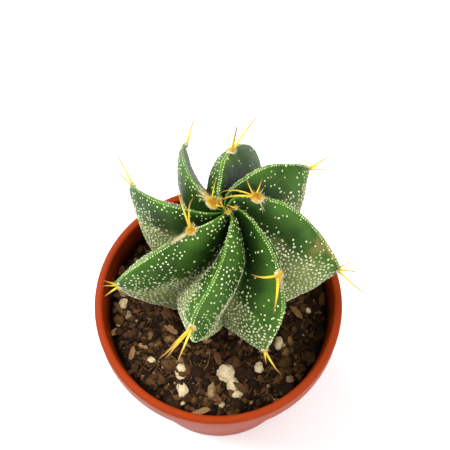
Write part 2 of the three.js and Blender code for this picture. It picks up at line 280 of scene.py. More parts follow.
class Recipe(Graph):
    """A Geometry Nodes tree with named inputs: lengths and shares, whole numbers, a finish."""

    def __init__(self, name, numbers, whole_numbers):
        super().__init__(bpy.data.node_groups.new(name, "GeometryNodeTree"))
        kinds = {"Geometry": "Geometry", **dict.fromkeys(numbers, "Float")}
        kinds.update({**dict.fromkeys(whole_numbers, "Int"), "Finish": "Material"})
        for label, kind in kinds.items():
            self.tree.interface.new_socket(label, in_out="INPUT", socket_type="NodeSocket" + kind)
        self.tree.interface.new_socket(
            "Geometry", in_out="OUTPUT", socket_type="NodeSocketGeometry"
        )
        self.entry = self.tree.nodes.new("NodeGroupInput")
        self.exit = self.tree.nodes.new("NodeGroupOutput")

    def given(self, label):
        return Value(self, self.entry.outputs[label])

    def named(self, name, kind="FLOAT"):
        return self.node("GeometryNodeInputNamedAttribute", {"data_type": kind}, {"Name": name})

    def store(self, geometry, name, value, kind="FLOAT", domain="POINT"):
        settings = {"data_type": kind, "domain": domain}
        sockets = {"Geometry": geometry, "Name": name, "Value": value}
        return self.node("GeometryNodeStoreNamedAttribute", settings, sockets)

    def position(self):
        return self.node("GeometryNodeInputPosition")

    def vector(self, x, y, z):
        return self.node("ShaderNodeCombineXYZ", None, {0: x, 1: y, 2: z})

    def chance(self, low, high, seed):
        """A random number for each point."""
        settings = {"data_type": "FLOAT"}
        sockets = {2: low, 3: high, "Seed": seed}
        return self.node("FunctionNodeRandomValue", settings, sockets, output=1)

    def chance_vector(self, low, high, seed):
        sockets = {0: low, 1: high, "Seed": seed}
        return self.node("FunctionNodeRandomValue", {"data_type": "FLOAT_VECTOR"}, sockets)

    def wobble(self, scale, detail=2.0):
        """A smooth random vector that changes from place to place, about 0."""
        sockets = {"Vector": self.position(), "Scale": scale, "Detail": detail}
        colour = self.node("ShaderNodeTexNoise", None, sockets, output="Color")
        return self.plus(colour, (-0.5, -0.5, -0.5))

    def moved(self, geometry, **where):
        """Moves points to a Position or by an Offset."""
        return self.node("GeometryNodeSetPosition", None, {"Geometry": geometry, **where})

    def spread(self, share_name):
        """Points on the given mesh, no two closer than the spacing; an attribute thins them."""
        sockets = {
            "Mesh": self.given("Geometry"),
            "Distance Min": self.given("Spacing"),
            "Density Max": self.given("Density"),
            "Density Factor": self.named(share_name),
            "Seed": self.given("Seed"),
        }
        settings = {"distribute_method": "POISSON"}
        return self.node("GeometryNodeDistributePointsOnFaces", settings, sockets)

    def placed(self, points, instance, **sockets):
        """A copy of one shape on each point."""
        sockets = {"Points": points, "Instance": instance, **sockets}
        return self.node("GeometryNodeInstanceOnPoints", None, sockets)

    def real(self, geometry):
        return self.node("GeometryNodeRealizeInstances", None, {0: geometry})

    def close(self, geometry):
        """Ends the recipe: plain geometry, smooth shading and the finish."""
        sockets = {"Geometry": self.real(geometry), "Shade Smooth": True}
        shaded = self.node("GeometryNodeSetShadeSmooth", None, sockets)
        sockets = {"Geometry": shaded, "Material": self.given("Finish")}
        self.feed(self.exit.inputs[0], self.node("GeometryNodeSetMaterial", None, sockets))

    def identifier(self, label):
        for item in self.tree.interface.items_tree:
            if item.name == label and item.in_out == "INPUT":
                return item.identifier
        raise KeyError(label)

    def grow(self, name, mesh, finish, sizes):
        """Runs the recipe on a mesh and gives the result as a plain piece."""
        maker = bpy.data.objects.new(name + "_maker", mesh)
        bpy.context.scene.collection.objects.link(maker)
        modifier = maker.modifiers.new("recipe", "NODES")
        modifier.node_group = self.tree
        modifier[self.identifier("Finish")] = finish
        for label, value in sizes.items():
            modifier[self.identifier(label)] = value * MM if label in LENGTHS else value
        shown = bpy.context.evaluated_depsgraph_get()
        grown = bpy.data.meshes.new_from_object(maker.evaluated_get(shown), depsgraph=shown)
        bpy.data.objects.remove(maker)
        piece = as_piece(name, grown)
        print(name, triangles(piece), "triangles")
        return piece


def as_piece(name, mesh):
    piece = bpy.data.objects.new(name, mesh)
    mesh.name = name
    bpy.context.scene.collection.objects.link(piece)
    return piece


def triangles(piece):
    return sum(len(face.vertices) - 2 for face in piece.data.polygons)


def finished(name, mesh, material):
    """A smooth piece from a mesh and its one finish."""
    mesh.materials.append(material)
    mesh.shade_smooth()
    return as_piece(name, mesh)


def store_on(mesh, name, values):
    """Keeps a number or a vector for each point of a mesh."""
    block = np.array(values, dtype=np.float32)
    kind, field = ("FLOAT", "value") if block.ndim == 1 else ("FLOAT_VECTOR", "vector")
    mesh.attributes.new(name, kind, "POINT").data.foreach_set(field, block.ravel())


def mesh_of_points(name, points, **attributes):
    """A mesh of loose points in metres; each attribute is a list of numbers or vectors."""
    mesh = bpy.data.meshes.new(name)
    mesh.from_pydata([tuple(p) for p in points], [], [])
    for label, values in attributes.items():
        store_on(mesh, label, values)
    return mesh


def mesh_of_rows(name, rows):
    """A mesh from rows of points, each row a ring, with a flat cap where a row is one point."""
    points = []
    faces = []
    starts = []
    for row in rows:
        starts.append(len(points))
        points.extend(tuple(p) for p in row)
    for below, above in zip(range(len(rows) - 1), range(1, len(rows))):
        count = max(len(rows[below]), len(rows[above]))
        for i in range(count):
            j = (i + 1) % count
            corners = [
                starts[below] + i % len(rows[below]),
                starts[below] + j % len(rows[below]),
                starts[above] + j % len(rows[above]),
                starts[above] + i % len(rows[above]),
            ]
            faces.append(list(dict.fromkeys(corners)))
    mesh = bpy.data.meshes.new(name)
    mesh.from_pydata(points, [], faces)
    mesh.validate()
    return mesh


print("recipe helpers ready")

# %% [markdown]
# ## Where the plant stands
# The stem's shape follows one rule, and the same rule made the CAD solid. The plant has its
# own frame, in millimetres: z runs up its axis from the soil. It stands a little behind the
# middle of the pot and leans back by five degrees.

# %% Sizes of the pot, the soil and the plant
POT_HEIGHT = 48
RIM_R = 27.5
LIP_WIDTH = 1.9
COLLAR_HEIGHT = 7
COLLAR_STEP = 1.3
FOOT_R = 19.6
WALL = 1.0
FLOOR = 1.2
EDGE = 0.5
DRAIN_HOLES = 6
DRAIN_R = 2.4
DRAIN_RING_R = 15.0
SOIL_DROP = 7
CLEARANCE = 0.3
SOIL_SWELL = 0.45
BASE = np.array([1.5, 7.5, POT_HEIGHT - SOIL_DROP])
LEAN = 5 * DEGREE
LEAN_TURN = np.array(
    [
        [1, 0, 0],
        [0, math.cos(LEAN), math.sin(LEAN)],
        [0, -math.sin(LEAN), math.cos(LEAN)],
    ]
)


def to_scene(points):
    """Points of the plant's frame in mm, as places in the scene in metres."""
    return (np.asarray(points) @ LEAN_TURN.T + BASE) * MM


def turn_to_scene(vectors):
    return np.asarray(vectors) @ LEAN_TURN.T


print("the plant's base in mm:", BASE)

# %% [markdown]
# ## The rib rule
# A star cactus has a few deep ribs. Each crest line starts at the sunken crown, turns
# clockwise as it goes out, and drops to the soil below its tip. The numbers of each rib
# were fitted so that its crest lies on the crest line in the photograph.

# %% The ribs and the profiles of crest and valley
CREST_TOP = 36.7
CREST_BASE_R = 14.4
VALLEY_R = 14.3
VALLEY_TOP = 27.5
VALLEY_WIDE_Z = 12
VALLEY_BASE_R = 10.6
APEX_DIP = 1.8
APEX_DIP_R = 2.2
APEX_FILL = CREST_TOP - APEX_DIP - VALLEY_TOP
APEX_FILL_R = 2.6
CROWN_SHARE = 0.34
SWIRL = 41 * DEGREE
CURL_POWER = 14
CROWN_POWER = 1.6
CREST_ROUND = 0.05
ROOT_DEPTH = 13
ROOT_R = 3.6
ROOT_POWER = 1.6
NOTCH = 0.55
NOTCH_LENGTH = 0.05
NOTCH_FULL_R = 8

# A row for each rib: crown and tip angle in degrees, curl, reach, height of the tip, arch and
# fullness below; where the valley to the next rib lies, near the crown (fold) and further out
# (foot); how full the flanks are on the rib's clockwise (cw) and other (ccw) side; and how
# much faster the clockwise flank falls than it narrows (steep)
RIB_WORDS = (
    "crown", "tip", "curl", "reach", "high", "arch", "full", "fold", "foot", "cw", "ccw", "steep",
)
RIBS = [
    (216, 204.3, 0, 25.3, 20.2, 1.2, 1.3, 0.87, 0.38, 0.4, 1.05, 2.0),
    (271, 253.6, -5, 24.1, 21.0, 1.0, 1.2, 0.8, 0.4, 0.5, 1.05, 1.3),
    (326, 290, 9.5, 24.8, 15.4, 1.5, 1.2, 0.4, 0.4, 0.75, 0.85, 1.0),
    (378, 347, -2.5, 25.3, 17.8, 1.5, 1.0, 0.45, 0.45, 0.75, 0.85, 1.0),
    (419, 402.6, -5.5, 24.8, 22.2, 1.27, 0.65, 0.5, 0.45, 0.55, 0.85, 1.2),
    (456.5, 434.4, 2.5, 23.6, 19.8, 1.27, 0.55, 0.8, 0.8, 1.3, 0.85, 1.0),
    (496.5, 472, -2.5, 24.2, 21.3, 1.1, 0.8, 0.5, 0.5, 0.2, 0.85, 3.5),
    (540, 509, 1, 24.0, 20.8, 1.0, 2.2, 0.5, 0.5, 0.3, 0.95, 2.5),
]
RIB_COUNT = len(RIBS)


def rib_row(index):
    """The numbers of a rib; past the last one they go on, one full turn further."""
    turns, number = divmod(index, RIB_COUNT)
    rib = dict(zip(RIB_WORDS, RIBS[number]))
    rib["crown"] += 360 * turns
    rib["tip"] += 360 * turns
    return rib


def crest_point(rib, s):
    """Distance from the axis and height of a crest: s is 0 at the crown, 1 at the tip,
    2 at the soil and 3 at the root's end."""
    if s <= 1:
        r = rib["reach"] * math.sin(s * math.pi / 2)
        dip = APEX_DIP * math.exp(-((r / APEX_DIP_R) ** 2))
        fall = abs(math.cos(s * math.pi / 2)) ** rib["arch"]
        return r, rib["high"] + (CREST_TOP - rib["high"]) * fall - dip
    if s <= 2:
        share = 1 - (s - 1) ** rib["full"]
        return CREST_BASE_R + (rib["reach"] - CREST_BASE_R) * share, rib["high"] * (2 - s)
    share = 1 - (s - 2) ** ROOT_POWER
    return ROOT_R + (CREST_BASE_R - ROOT_R) * share, -ROOT_DEPTH * (s - 2)


def valley_point(s):
    if s <= 1:
        r = VALLEY_R * math.sin(s * math.pi / 2)
        fill = APEX_FILL * math.exp(-((r / APEX_FILL_R) ** 2))
        fall = math.cos(s * math.pi / 2)
        return r, VALLEY_WIDE_Z + (VALLEY_TOP - VALLEY_WIDE_Z) * fall + fill
    if s <= 2:
        share = 1 - (s - 1) ** 2
        return VALLEY_BASE_R + (VALLEY_R - VALLEY_BASE_R) * share, VALLEY_WIDE_Z * (2 - s)
    share = 1 - (s - 2) ** ROOT_POWER
    return ROOT_R + (VALLEY_BASE_R - ROOT_R) * share, -ROOT_DEPTH * (s - 2)


def crest_angle(rib, s):
    out = math.sin(s * math.pi / 2) if s < 1 else 1.0
    turn = (rib["crown"] - rib["tip"] - rib["curl"]) * (1 - out) / (1 - CROWN_SHARE)
    curl = rib["curl"] * (1 - out**CURL_POWER)
    swirl = SWIRL * max(0, 1 - out / CROWN_SHARE) ** 2
    return (rib["tip"] + turn + curl) * DEGREE + swirl


def valley_angle(index, s):
    before = crest_angle(rib_row(index), s)
    after = crest_angle(rib_row(index + 1), s)
    out = math.sin(s * math.pi / 2) if s < 1 else 1.0
    rib = rib_row(index)
    share = max(0, out - CROWN_SHARE) / (1 - CROWN_SHARE)
    fold = rib["fold"] + (rib["foot"] - rib["fold"]) * share
    return before + fold * (after - before)


print(RIB_COUNT, "ribs, the first reaching", rib_row(0)["reach"], "mm")

# %% [markdown]
# ## Areoles
# Spines and wool grow only from areoles, small cushions spaced along each crest. For each
# one this list gives the rib, the place on its crest, the size of its wool, and its spines.
# A spine's three numbers are its turn about the areole, its tilt from the crest and its
# length; a fourth and fifth say which way it curves and how strongly.

# %% The areoles and their spines
AREOLES = [
    (0, 0.235, 1.5, [(110, 43, 11.6, 270, 0.13), (118, 43, 9.5, 251, 0.34)]),
    (0, 1.03, 1.3, [(174, 49, 3.5), (216, 39, 3.7), (157, 62, 3.2)]),
    (0, 1.72, 1.0, []),
    (1, 0.03, 0.9, [(46, 20, 2.3), (355, 19, 2.2), (336, 60, 2.0)]),
    (1, 0.84, 1.2, [(62, 34, 5.5), (44, 39, 7.3), (42, 40, 8.3, 87, 0.12), (15, 38, 6.8)]),
    (1, 1.72, 1.0, []),
    (2, 0.06, 0.6, [(170, 45, 1.8)]),
    (2, 0.47, 1.5, [(98, 82, 8.5, 232, 0.3), (49, 43, 9.9, 108, 0.15), (197, 18, 1.8)]),
    (2, 1.03, 1.1, [(347, 44, 8.9, 270, 0.12), (5, 40, 3.5)]),
    (2, 1.72, 1.0, []),
    (3, 0.19, 1.9, [
        (193, 40, 5.9), (256, 13, 4.2), (174, 76, 10.3, 65, 0.33), (190, 73, 9.9, 76, 0.42),
    ]),
    (3, 0.97, 1.3, [(150, 45, 6.1), (38, 41, 7), (280, 45, 4)]),
    (3, 1.72, 1.0, []),
    (4, 0.95, 1.4, [(152, 46, 5.8), (131, 70, 4.8), (20, 40, 4)]),
    (4, 1.4, 1.1, [(0, 60, 2.5)]),
    (5, 0.06, 0.8, [(180, 45, 2.2)]),
    (5, 0.5, 1.6, [(145, 19, 8.6, 161, 0.3), (24, 43, 10.4, 154, 0.28)]),
    (5, 1.05, 1.3, [(0, 55, 3)]),
    (6, 0.08, 1.9, [(38, 28, 6.0), (322, 47, 4.9), (344, 30, 4.5), (182, 42, 3.2)]),
    (6, 0.87, 1.2, [(48, 48, 8)]),
    (6, 1.4, 1.1, [(0, 60, 2.5)]),
    (7, 0.93, 1.3, [(86, 33, 8), (32, 35, 5.2)]),
    (7, 1.5, 1.1, []),
]


def flank_share(across, s, fullness):
    """How far the flank stands out, from valley (0) to crest (1)."""
    power = fullness + CROWN_POWER * max(0, 1 - s)

    def bent(x):
        return (x * x + CREST_ROUND**2) ** (power / 2)

    return 1 - (bent(across) - bent(0)) / (bent(1) - bent(0))


def notch(number, s):
    """The small dip of the crest at each areole."""
    places = [at for rib, at, *_ in AREOLES if rib == number]
    return NOTCH * sum(math.exp(-(((s - at) / NOTCH_LENGTH) ** 2)) for at in places)


def stem_point(a, s):
    """A point of the stem in the plant's frame; a counts ribs, and halves are valleys."""
    nearest = math.floor(a + 0.5)
    index = math.floor(a)
    rib = rib_row(nearest)
    across = 1 - abs(1 - 2 * (a - index))
    stand = flank_share(across, s, rib["cw" if a < nearest else "ccw"])
    crest_r, crest_z = crest_point(rib, s)
    valley_r, valley_z = valley_point(s)
    angle = crest_angle(rib, s)
    angle += across * (valley_angle(index, s) - angle)
    r = valley_r + (crest_r - valley_r) * stand
    r -= notch(nearest % RIB_COUNT, s) * min(1, r / NOTCH_FULL_R) * stand**4
    z = valley_z + (crest_z - valley_z) * stand ** (rib["steep"] if a < nearest else 1)
    return np.array([r * math.cos(angle), r * math.sin(angle), z])


def unit(vector):
    return vector / np.linalg.norm(vector)


def stem_axes(rib, s, step=0.02):
    """Straight out of a crest, down the rib, and to the left seen from outside."""
    down = unit(stem_point(rib, s + step) - stem_point(rib, max(0.001, s - step)))
    angle = crest_angle(rib_row(rib), s)
    out = unit(np.cross(down, (-math.sin(angle), math.cos(angle), 0)))
    return out, down, unit(np.cross(down, out))


print(len(AREOLES), "areoles,", sum(len(row[3]) for row in AREOLES), "spines")

# %% [markdown]
# ## The skin of the stem
# The skin is deep waxy green, paler along the crests, and grey-green low down, where the
# felt is so fine and dense that single flecks merge. The shape stores how far each place is
# from its crest and how high it lies, and the finish reads those, so the colours follow the
# ribs. One rib has a small corky scar near its tip.

# %% Finish of the skin
SCARRED_RIB = 3


def skin_finish():
    skin = Finish("cactus_skin", Roughness=0.45, IOR=1.4)
    skin.shader.inputs["Specular IOR Level"].default_value = 0.2
    across = skin.attribute("across")
    along = skin.attribute("along")
    off_crest = skin.attribute("off_crest")
    blotch = skin.noise(7.0, 3.0)
    fine = skin.noise(0.5, 4.0, 0.6)
    body = skin.blend(blotch.smooth(0.3, 0.7), paint(28, 61, 6), paint(56, 93, 18))
    # Painted shade: the valleys near the crown are darkened towards deep green, more on each
    # rib's clockwise flank (side 1).
    shaded = 0.35 + 0.45 * skin.attribute("side")
    painted_valley_shade = across.smooth(0.12, 0.65) * along.smooth(0.75, 0.35)
    body = skin.blend(painted_valley_shade * shaded, body, paint(8, 34, 2))
    edge = (off_crest + (fine - 0.5) * 0.4).smooth(0.5, 0.1)
    body = skin.blend(edge * 0.4, body, paint(104, 146, 40))
    low = (skin.attribute("pale") + (blotch - 0.5) * 0.5).smooth(0.05, 0.95)
    body = skin.blend(low * 0.6, body, paint(126, 130, 78))
    scurf = skin.noise(0.22, 2.0, 0.7).smooth(0.5, 0.68)
    body = skin.blend(scurf * (0.05 + 0.35 * low), body, paint(186, 194, 146))
    scar = scar_mask(skin, off_crest, along, fine)
    body = skin.blend(scar, body, paint(190, 140, 96))
    rough = 0.42 + 0.25 * low + 0.1 * fine + 0.2 * scar
    height = fine * 0.5 + skin.noise(2.2, 2.0) * 1.2 + scurf * 0.5
    return skin.finish(body, rough.clamped(), skin.relief(height, 0.12, 0.7))


def scar_mask(skin, off_crest, along, fine):
    """1 inside the corky scar on the crest of the rib that points right, soft at its edge."""
    this_rib = abs(skin.attribute("number") - SCARRED_RIB) < 0.5
    ragged = (skin.noise(1.4, 4.0) - 0.5) * 0.5
    place = along + ragged * 0.3
    lengthwise = place.smooth(0.6, 0.66) * place.smooth(0.8, 0.72)
    beside = (off_crest + ragged * 2.4).smooth(1.7, 0.0) * (0.3 + 0.35 * skin.attribute("side"))
    streak = place.smooth(0.55, 0.62) * place.smooth(0.69, 0.62)
    streak = streak * (off_crest + ragged * 3.0).smooth(6.5, 1.5) * 0.3 * skin.attribute("side")
    return (lengthwise * beside).math("MAXIMUM", streak) * this_rib * (0.5 + 0.5 * fine)


skin_material = skin_finish()
print("skin has", len(skin_material.node_tree.nodes), "nodes")

# %% [markdown]
# ## The stem's shape
# The stem could be modelled by hand, but its shape is a rule, so Geometry Nodes can make
# it. Python works out only guide lines: one down each crest and one down each valley. The
# recipe lays a flat grid, wraps it round the axis, and for each of its points mixes the
# nearest crest line with the nearest valley line. Seams and poles are then welded.

# %% Guide lines for the recipe
STEM_ROWS = 150
ROW_END = 3.0


def row_places():
    """The rows' places from crown to root, closer together near the crown and the tips."""
    upper = np.linspace(0, 1, STEM_ROWS * 6 // 10) ** 1.15
    lower = np.linspace(1, 2, STEM_ROWS * 3 // 10 + 1)[1:]
    root = np.linspace(2, ROW_END, STEM_ROWS - len(upper) - len(lower) + 1)[1:]
    return np.concatenate([upper, lower, root])


def guide_mesh():
    """Loose points: the crest lines one after another, then the valley lines."""
    columns = {name: [] for name in ("turn", "reach", "rise", "step", "cw", "ccw", "steep")}

    def add(angle, r, z, s, rib):
        row = (angle, 0 if s == ROW_END else r, z, s, rib["cw"], rib["ccw"], rib["steep"])
        for name, value in zip(columns, row):
            columns[name].append(value)

    for index in range(RIB_COUNT + 1):
        for s in row_places():
            r, z = crest_point(rib_row(index), s)
            r -= notch(index % RIB_COUNT, s) * min(1, r / NOTCH_FULL_R)
            add(crest_angle(rib_row(index), s), r, z, s, rib_row(index))
    for index in range(RIB_COUNT):
        for s in row_places():
            add(valley_angle(index, s), *valley_point(s), s, rib_row(index))
    return mesh_of_points("guides", np.zeros((len(columns["turn"]), 3)), **columns)


guides = guide_mesh()
print(len(guides.vertices), "guide points on", 2 * RIB_COUNT + 1, "lines")

# %% Recipe of the stem


def stem_recipe():
    sizes = ("Crest Round", "Crown Power", "Crowding", "Ripple")
    recipe = Recipe("ribbed_stem", sizes, ("Ribs", "Rows", "Columns per Rib"))
    ribs, rows = recipe.given("Ribs"), recipe.given("Rows")
    columns = ribs * recipe.given("Columns per Rib") + 1
    sockets = {"Size X": 1.0, "Size Y": 1.0, "Vertices X": columns, "Vertices Y": rows}
    grid = recipe.node("GeometryNodeMeshGrid", None, sockets)
    x, y, _ = recipe.parts(recipe.position())
    a = (x + 0.5) * ribs
    row = ((y + 0.5) * (rows - 1) + 0.5).floor()
    nearest = (a + 0.5).floor()
    index = a.floor().math("MINIMUM", ribs - 1)
    clockwise = a < nearest
    across = abs(2 * (a - nearest)) ** recipe.given("Crowding")
    crest_place = nearest * rows + row
    valley_place = (ribs + 1 + index) * rows + row

    def guide(name, place):
        sockets = {"Geometry": recipe.given("Geometry"), "Index": place}
        sockets["Value"] = recipe.named(name)
        return recipe.node("GeometryNodeSampleIndex", {"data_type": "FLOAT"}, sockets)

    def on_circle(r, turn, z):
        return recipe.vector(r * turn.math("COSINE"), r * turn.math("SINE"), z)

    s = guide("step", crest_place)
    fullness = guide("ccw", crest_place).towards(guide("cw", crest_place), clockwise)
    fall = (1.0 + 0.0 * s).towards(guide("steep", crest_place), clockwise)
    power = fullness + recipe.given("Crown Power") * (1 - s).math("MAXIMUM", 0.0)
    round_square = recipe.given("Crest Round") ** 2

    def bent(square):
        return (square + round_square) ** (power / 2)

    at_crest = bent(0.0 * power)
    stand = 1 - (bent(across * across) - at_crest) / (bent(1 + 0.0 * power) - at_crest)
    turn = guide("turn", crest_place).towards(guide("turn", valley_place), across)
    r = guide("reach", valley_place).towards(guide("reach", crest_place), stand)
    z = guide("rise", valley_place).towards(guide("rise", crest_place), stand**fall)
    where = on_circle(r, turn, z)
    crest = on_circle(*(guide(name, crest_place) for name in ("reach", "turn", "rise")))
    off_crest = recipe.node(
        "ShaderNodeVectorMath", {"operation": "DISTANCE"}, {0: where, 1: crest}, output="Value"
    )
    number = nearest.math("MODULO", ribs)
    kept = {"across": across, "side": clockwise, "number": number, "along": s, "rise": z}
    for name, value in {**kept, "off_crest": off_crest}.items():
        grid = recipe.store(grid, name, value)
    wrapped = recipe.moved(grid, Position=where)
    sockets = {"Geometry": wrapped, "Distance": 1e-3}
    welded = recipe.node("GeometryNodeMergeByDistance", None, sockets)
    ripple = recipe.scaled(recipe.wobble(0.16, 1.0), recipe.given("Ripple"))
    sockets = {"Geometry": recipe.moved(welded, Offset=ripple), "Scale": (MM, MM, MM)}
    recipe.close(recipe.node("GeometryNodeTransform", None, sockets))
    return recipe


STEM = {
    "Ribs": RIB_COUNT,
    "Rows": STEM_ROWS,
    "Columns per Rib": 30,
    "Crest Round": CREST_ROUND,
    "Crown Power": CROWN_POWER,
    "Crowding": 1.7,
    "Ripple": 0.9,
}
stem = stem_recipe().grow("cactus_stem", guides, skin_material, STEM)

# %% [markdown]
# The recipe works in the plant's own frame. Its mesh is now leaned back and moved to where
# the plant stands, and its faces are turned outwards if the wrapping turned them inwards.

# %% Stand the stem in its place


def stand_up(piece):
    """Moves a mesh from the plant's frame, in metres, to its place in the scene."""
    lean = Matrix([list(row) for row in LEAN_TURN]).to_4x4()
    piece.data.transform(Matrix.Translation(Vector(BASE * MM)) @ lean)


def face_outwards(mesh):
    """Turns all faces over if the closed mesh is inside out."""
    corners = np.zeros(len(mesh.vertices) * 3)
    mesh.vertices.foreach_get("co", corners)
    corners = corners.reshape(-1, 3)
    mesh.calc_loop_triangles()
    index = np.zeros(len(mesh.loop_triangles) * 3, dtype=np.int32)
    mesh.loop_triangles.foreach_get("vertices", index)
    a, b, c = corners[index].reshape(-1, 3, 3).transpose(1, 0, 2)
    volume = np.einsum("ij,ij->i", a, np.cross(b, c)).sum() / 6
    if volume < 0:
        mesh.flip_normals()
    return abs(volume)


stand_up(stem)
print("stem volume in cubic mm:", round(face_outwards(stem.data) / MM**3))

# %% [markdown]
# ## Felt flecks
# The white dots are tufts of felt, each about half a millimetre across and slightly raised.
# They could be painted on, but then they would look flat from the side. The recipe scatters
# points over a mesh, no two closer than a set distance, and puts a flattened lump on each.

# %% Finish of the felt


def felt_finish(name, dull, bright):
    felt = Finish(name, Roughness=0.9, Sheen_Weight=0.4)
    low = felt.noise(3.0, 2.0)
    fine = felt.noise(0.12, 3.0, 0.7)
    colour = felt.blend(low.smooth(0.35, 0.65), dull, bright)
    colour = felt.blend(fine.smooth(0.6, 0.35) * 0.25, colour, paint(150, 172, 100))
    return felt.finish(colour, None, felt.relief(fine, 0.06, 0.8))


white_felt = felt_finish("white_felt", paint(198, 216, 134), paint(226, 236, 176))
grey_felt = felt_finish("grey_felt", paint(168, 174, 120), paint(212, 214, 174))
print("felt finishes:", white_felt.name, grey_felt.name)

# %% Recipe of the flecks


def fleck_recipe():
    sizes = ("Spacing", "Density", "Size", "Height", "Longest")
    recipe = Recipe("felt_flecks", sizes, ("Rings", "Seed"))
    spread = recipe.spread("cover")
    sockets = {"Segments": 6, "Rings": recipe.given("Rings"), "Radius": 1.0}
    lump = recipe.node("GeometryNodeMeshUVSphere", None, sockets)
    size = recipe.given("Size") * recipe.chance(0.7, 1.2, 3)
    long = size * recipe.chance(0.9, recipe.given("Longest"), 4)
    scale = recipe.vector(size, long, size * recipe.given("Height"))
    about_z = recipe.vector(0.0, 0.0, recipe.chance(0.0, FULL_TURN, 5))
    spin = recipe.node("FunctionNodeEulerToRotation", None, {0: about_z})
    sockets = {"Rotation": spread.output("Rotation"), "Rotate By": spin}
    turned = recipe.node("FunctionNodeRotateRotation", {"rotation_space": "LOCAL"}, sockets)
    tufts = recipe.real(recipe.placed(spread, lump, Rotation=turned, Scale=scale))
    uneven = recipe.scaled(recipe.wobble(2600.0, 1.0), recipe.given("Size") * 0.7)
    recipe.close(recipe.moved(tufts, Offset=uneven))
    return recipe


flecks = fleck_recipe()
print("fleck recipe has", len(flecks.tree.nodes), "nodes")

# %% [markdown]
# Three sorts of fleck are sown. Dots stand in a line on both sides of each crest, and are
# sown on a thin strip laid there. Round tufts stand on the flanks and a close felt of small
# crooked ones low down. For these two, the share of the skin that they cover is worked out
# at every corner of the stem's mesh, from the numbers that the stem's recipe stored.

# %% Where the flecks stand
# How many waves make up the patches
WAVES = 7

# A flank with fewer tufts than this keeps its valley clean near the crown
BARE_VALLEY = 0.4

# How many more tufts stand beside the crests at the crown
CROWN_FLECKS = 0.6


def soft_step(x, low, high):
    t = np.clip((x - low) / (high - low), 0, 1)
    return t * t * (3 - 2 * t)


def read_numbers(mesh, name):
    values = np.zeros(len(mesh.vertices), dtype=np.float32)
    mesh.attributes[name].data.foreach_get("value", values)
    return values


def patches(mesh, size_mm, seed):
    """A smooth random number from 0 to 1 at every corner of a mesh."""
    places = np.zeros(len(mesh.vertices) * 3)
    mesh.vertices.foreach_get("co", places)
    places = places.reshape(-1, 3) / (size_mm * MM)
    source = np.random.default_rng(seed)
    total = np.zeros(len(places))
    for _ in range(WAVES):
        way = source.normal(0, 1, 3)
        total += np.sin(places @ way + source.uniform(0, 2 * math.pi))
    return 0.5 + 0.5 * np.clip(total / math.sqrt(WAVES), -1, 1)


# For each rib, its counter-clockwise flank and then its clockwise one: how thick the tufts
# stand near the crest and far from it, from which place along the rib the far ones start,
# the height in mm at which the close felt begins, and how much higher it begins for each
# mm off the crest
FLECKED = np.array([
    [(0.62, 0.45, 0.35, 24, 0.7), (0.4, 0.4, 0.2, 25, 0.7)],
    [(0.5, 0.5, 0.0, 20, 0.7), (0.35, 0.6, 0.3, 28.5, 0.7)],
    [(0.45, 0.35, 0.2, 19, 0.7), (0.1, 0.45, 0.55, 21, 0.7)],
    [(0.3, 0.3, 0.3, 19, 0.7), (0.18, 0.5, 0.25, 19, 1.8)],
    [(0.3, 0.3, 0.3, 19, 0.7), (0.2, 0.3, 0.3, 24, 0.7)],
    [(0.3, 0.2, 0.2, 18, 0.7), (0.12, 0.08, 0.5, 14, 0.7)],
    [(0.35, 0.25, 0.2, 19, 0.7), (0.05, 0.03, 0.5, 14, 0.7)],
    [(0.38, 0.3, 0.15, 24, 0.7), (0.15, 0.1, 0.5, 20, 0.7)],
])


def covers(mesh):
    """How much of each sort of fleck there is, from 0 to 1, at every corner of the stem.

    off_crest, level and the heights are in mm; along runs from 0 at the crown to 2 at the soil.
    """
    names = ("across", "rise", "along", "off_crest", "number", "side")
    across, rise, along, off_crest, number, side = (read_numbers(mesh, name) for name in names)
    number = np.rint(number).astype(int) % RIB_COUNT
    side = np.rint(side).astype(int)
    near_share, far_share, start, felt_top, climb = FLECKED[number, side].T
    patch = patches(mesh, 2.4, 5)
    above_soil = along < 2.02
    level = rise - climb * off_crest + (patch - 0.5) * 6
    low = soft_step(felt_top - level, -1.0, 7.0)
    near = soft_step(off_crest, 6.0, 2.5)
    far = (1 - near) * soft_step(along, start - 0.1, start + 0.15)
    crown = (1 - side) * soft_step(along, 0.5, 0.25) * soft_step(off_crest, 3.4, 2.2)
    near_share = near_share + CROWN_FLECKS * crown
    upper = near_share * near * soft_step(off_crest, 0.55, 0.8) + far_share * far
    valley = soft_step(across, 0.35, 0.7) * soft_step(along, 0.62, 0.42)
    clean = 1 - valley * (far_share < BARE_VALLEY)
    middle = 0.3 * soft_step(felt_top - level, -5.0, 4.0)
    tufts = (0.01 + upper * (0.5 + 0.8 * patch) + middle) * clean * (1 - low)
    return {
        "pale": soft_step(felt_top - level, 2.0, 13.0) * above_soil,
        "flank_tufts": tufts * above_soil,
        "low_felt": low * (0.2 + 0.8 * low) * clean * above_soil,
    }


cover = covers(stem.data)
store_on(stem.data, "pale", cover["pale"])
for name, values in cover.items():
    print("mean cover of", name, round(float(np.mean(values)), 3))


# %% Sow the flecks


def crest_side(rib, way, s, distance):
    """A point of a flank at a set distance from its crest; way is 1 or -1."""
    crest = stem_point(rib, s)
    near, far = 0.0, 0.4
    for _ in range(18):
        middle = (near + far) / 2
        if np.linalg.norm(stem_point(rib + way * middle, s) - crest) < distance:
            near = middle
        else:
            far = middle
    return stem_point(rib + way * near, s)


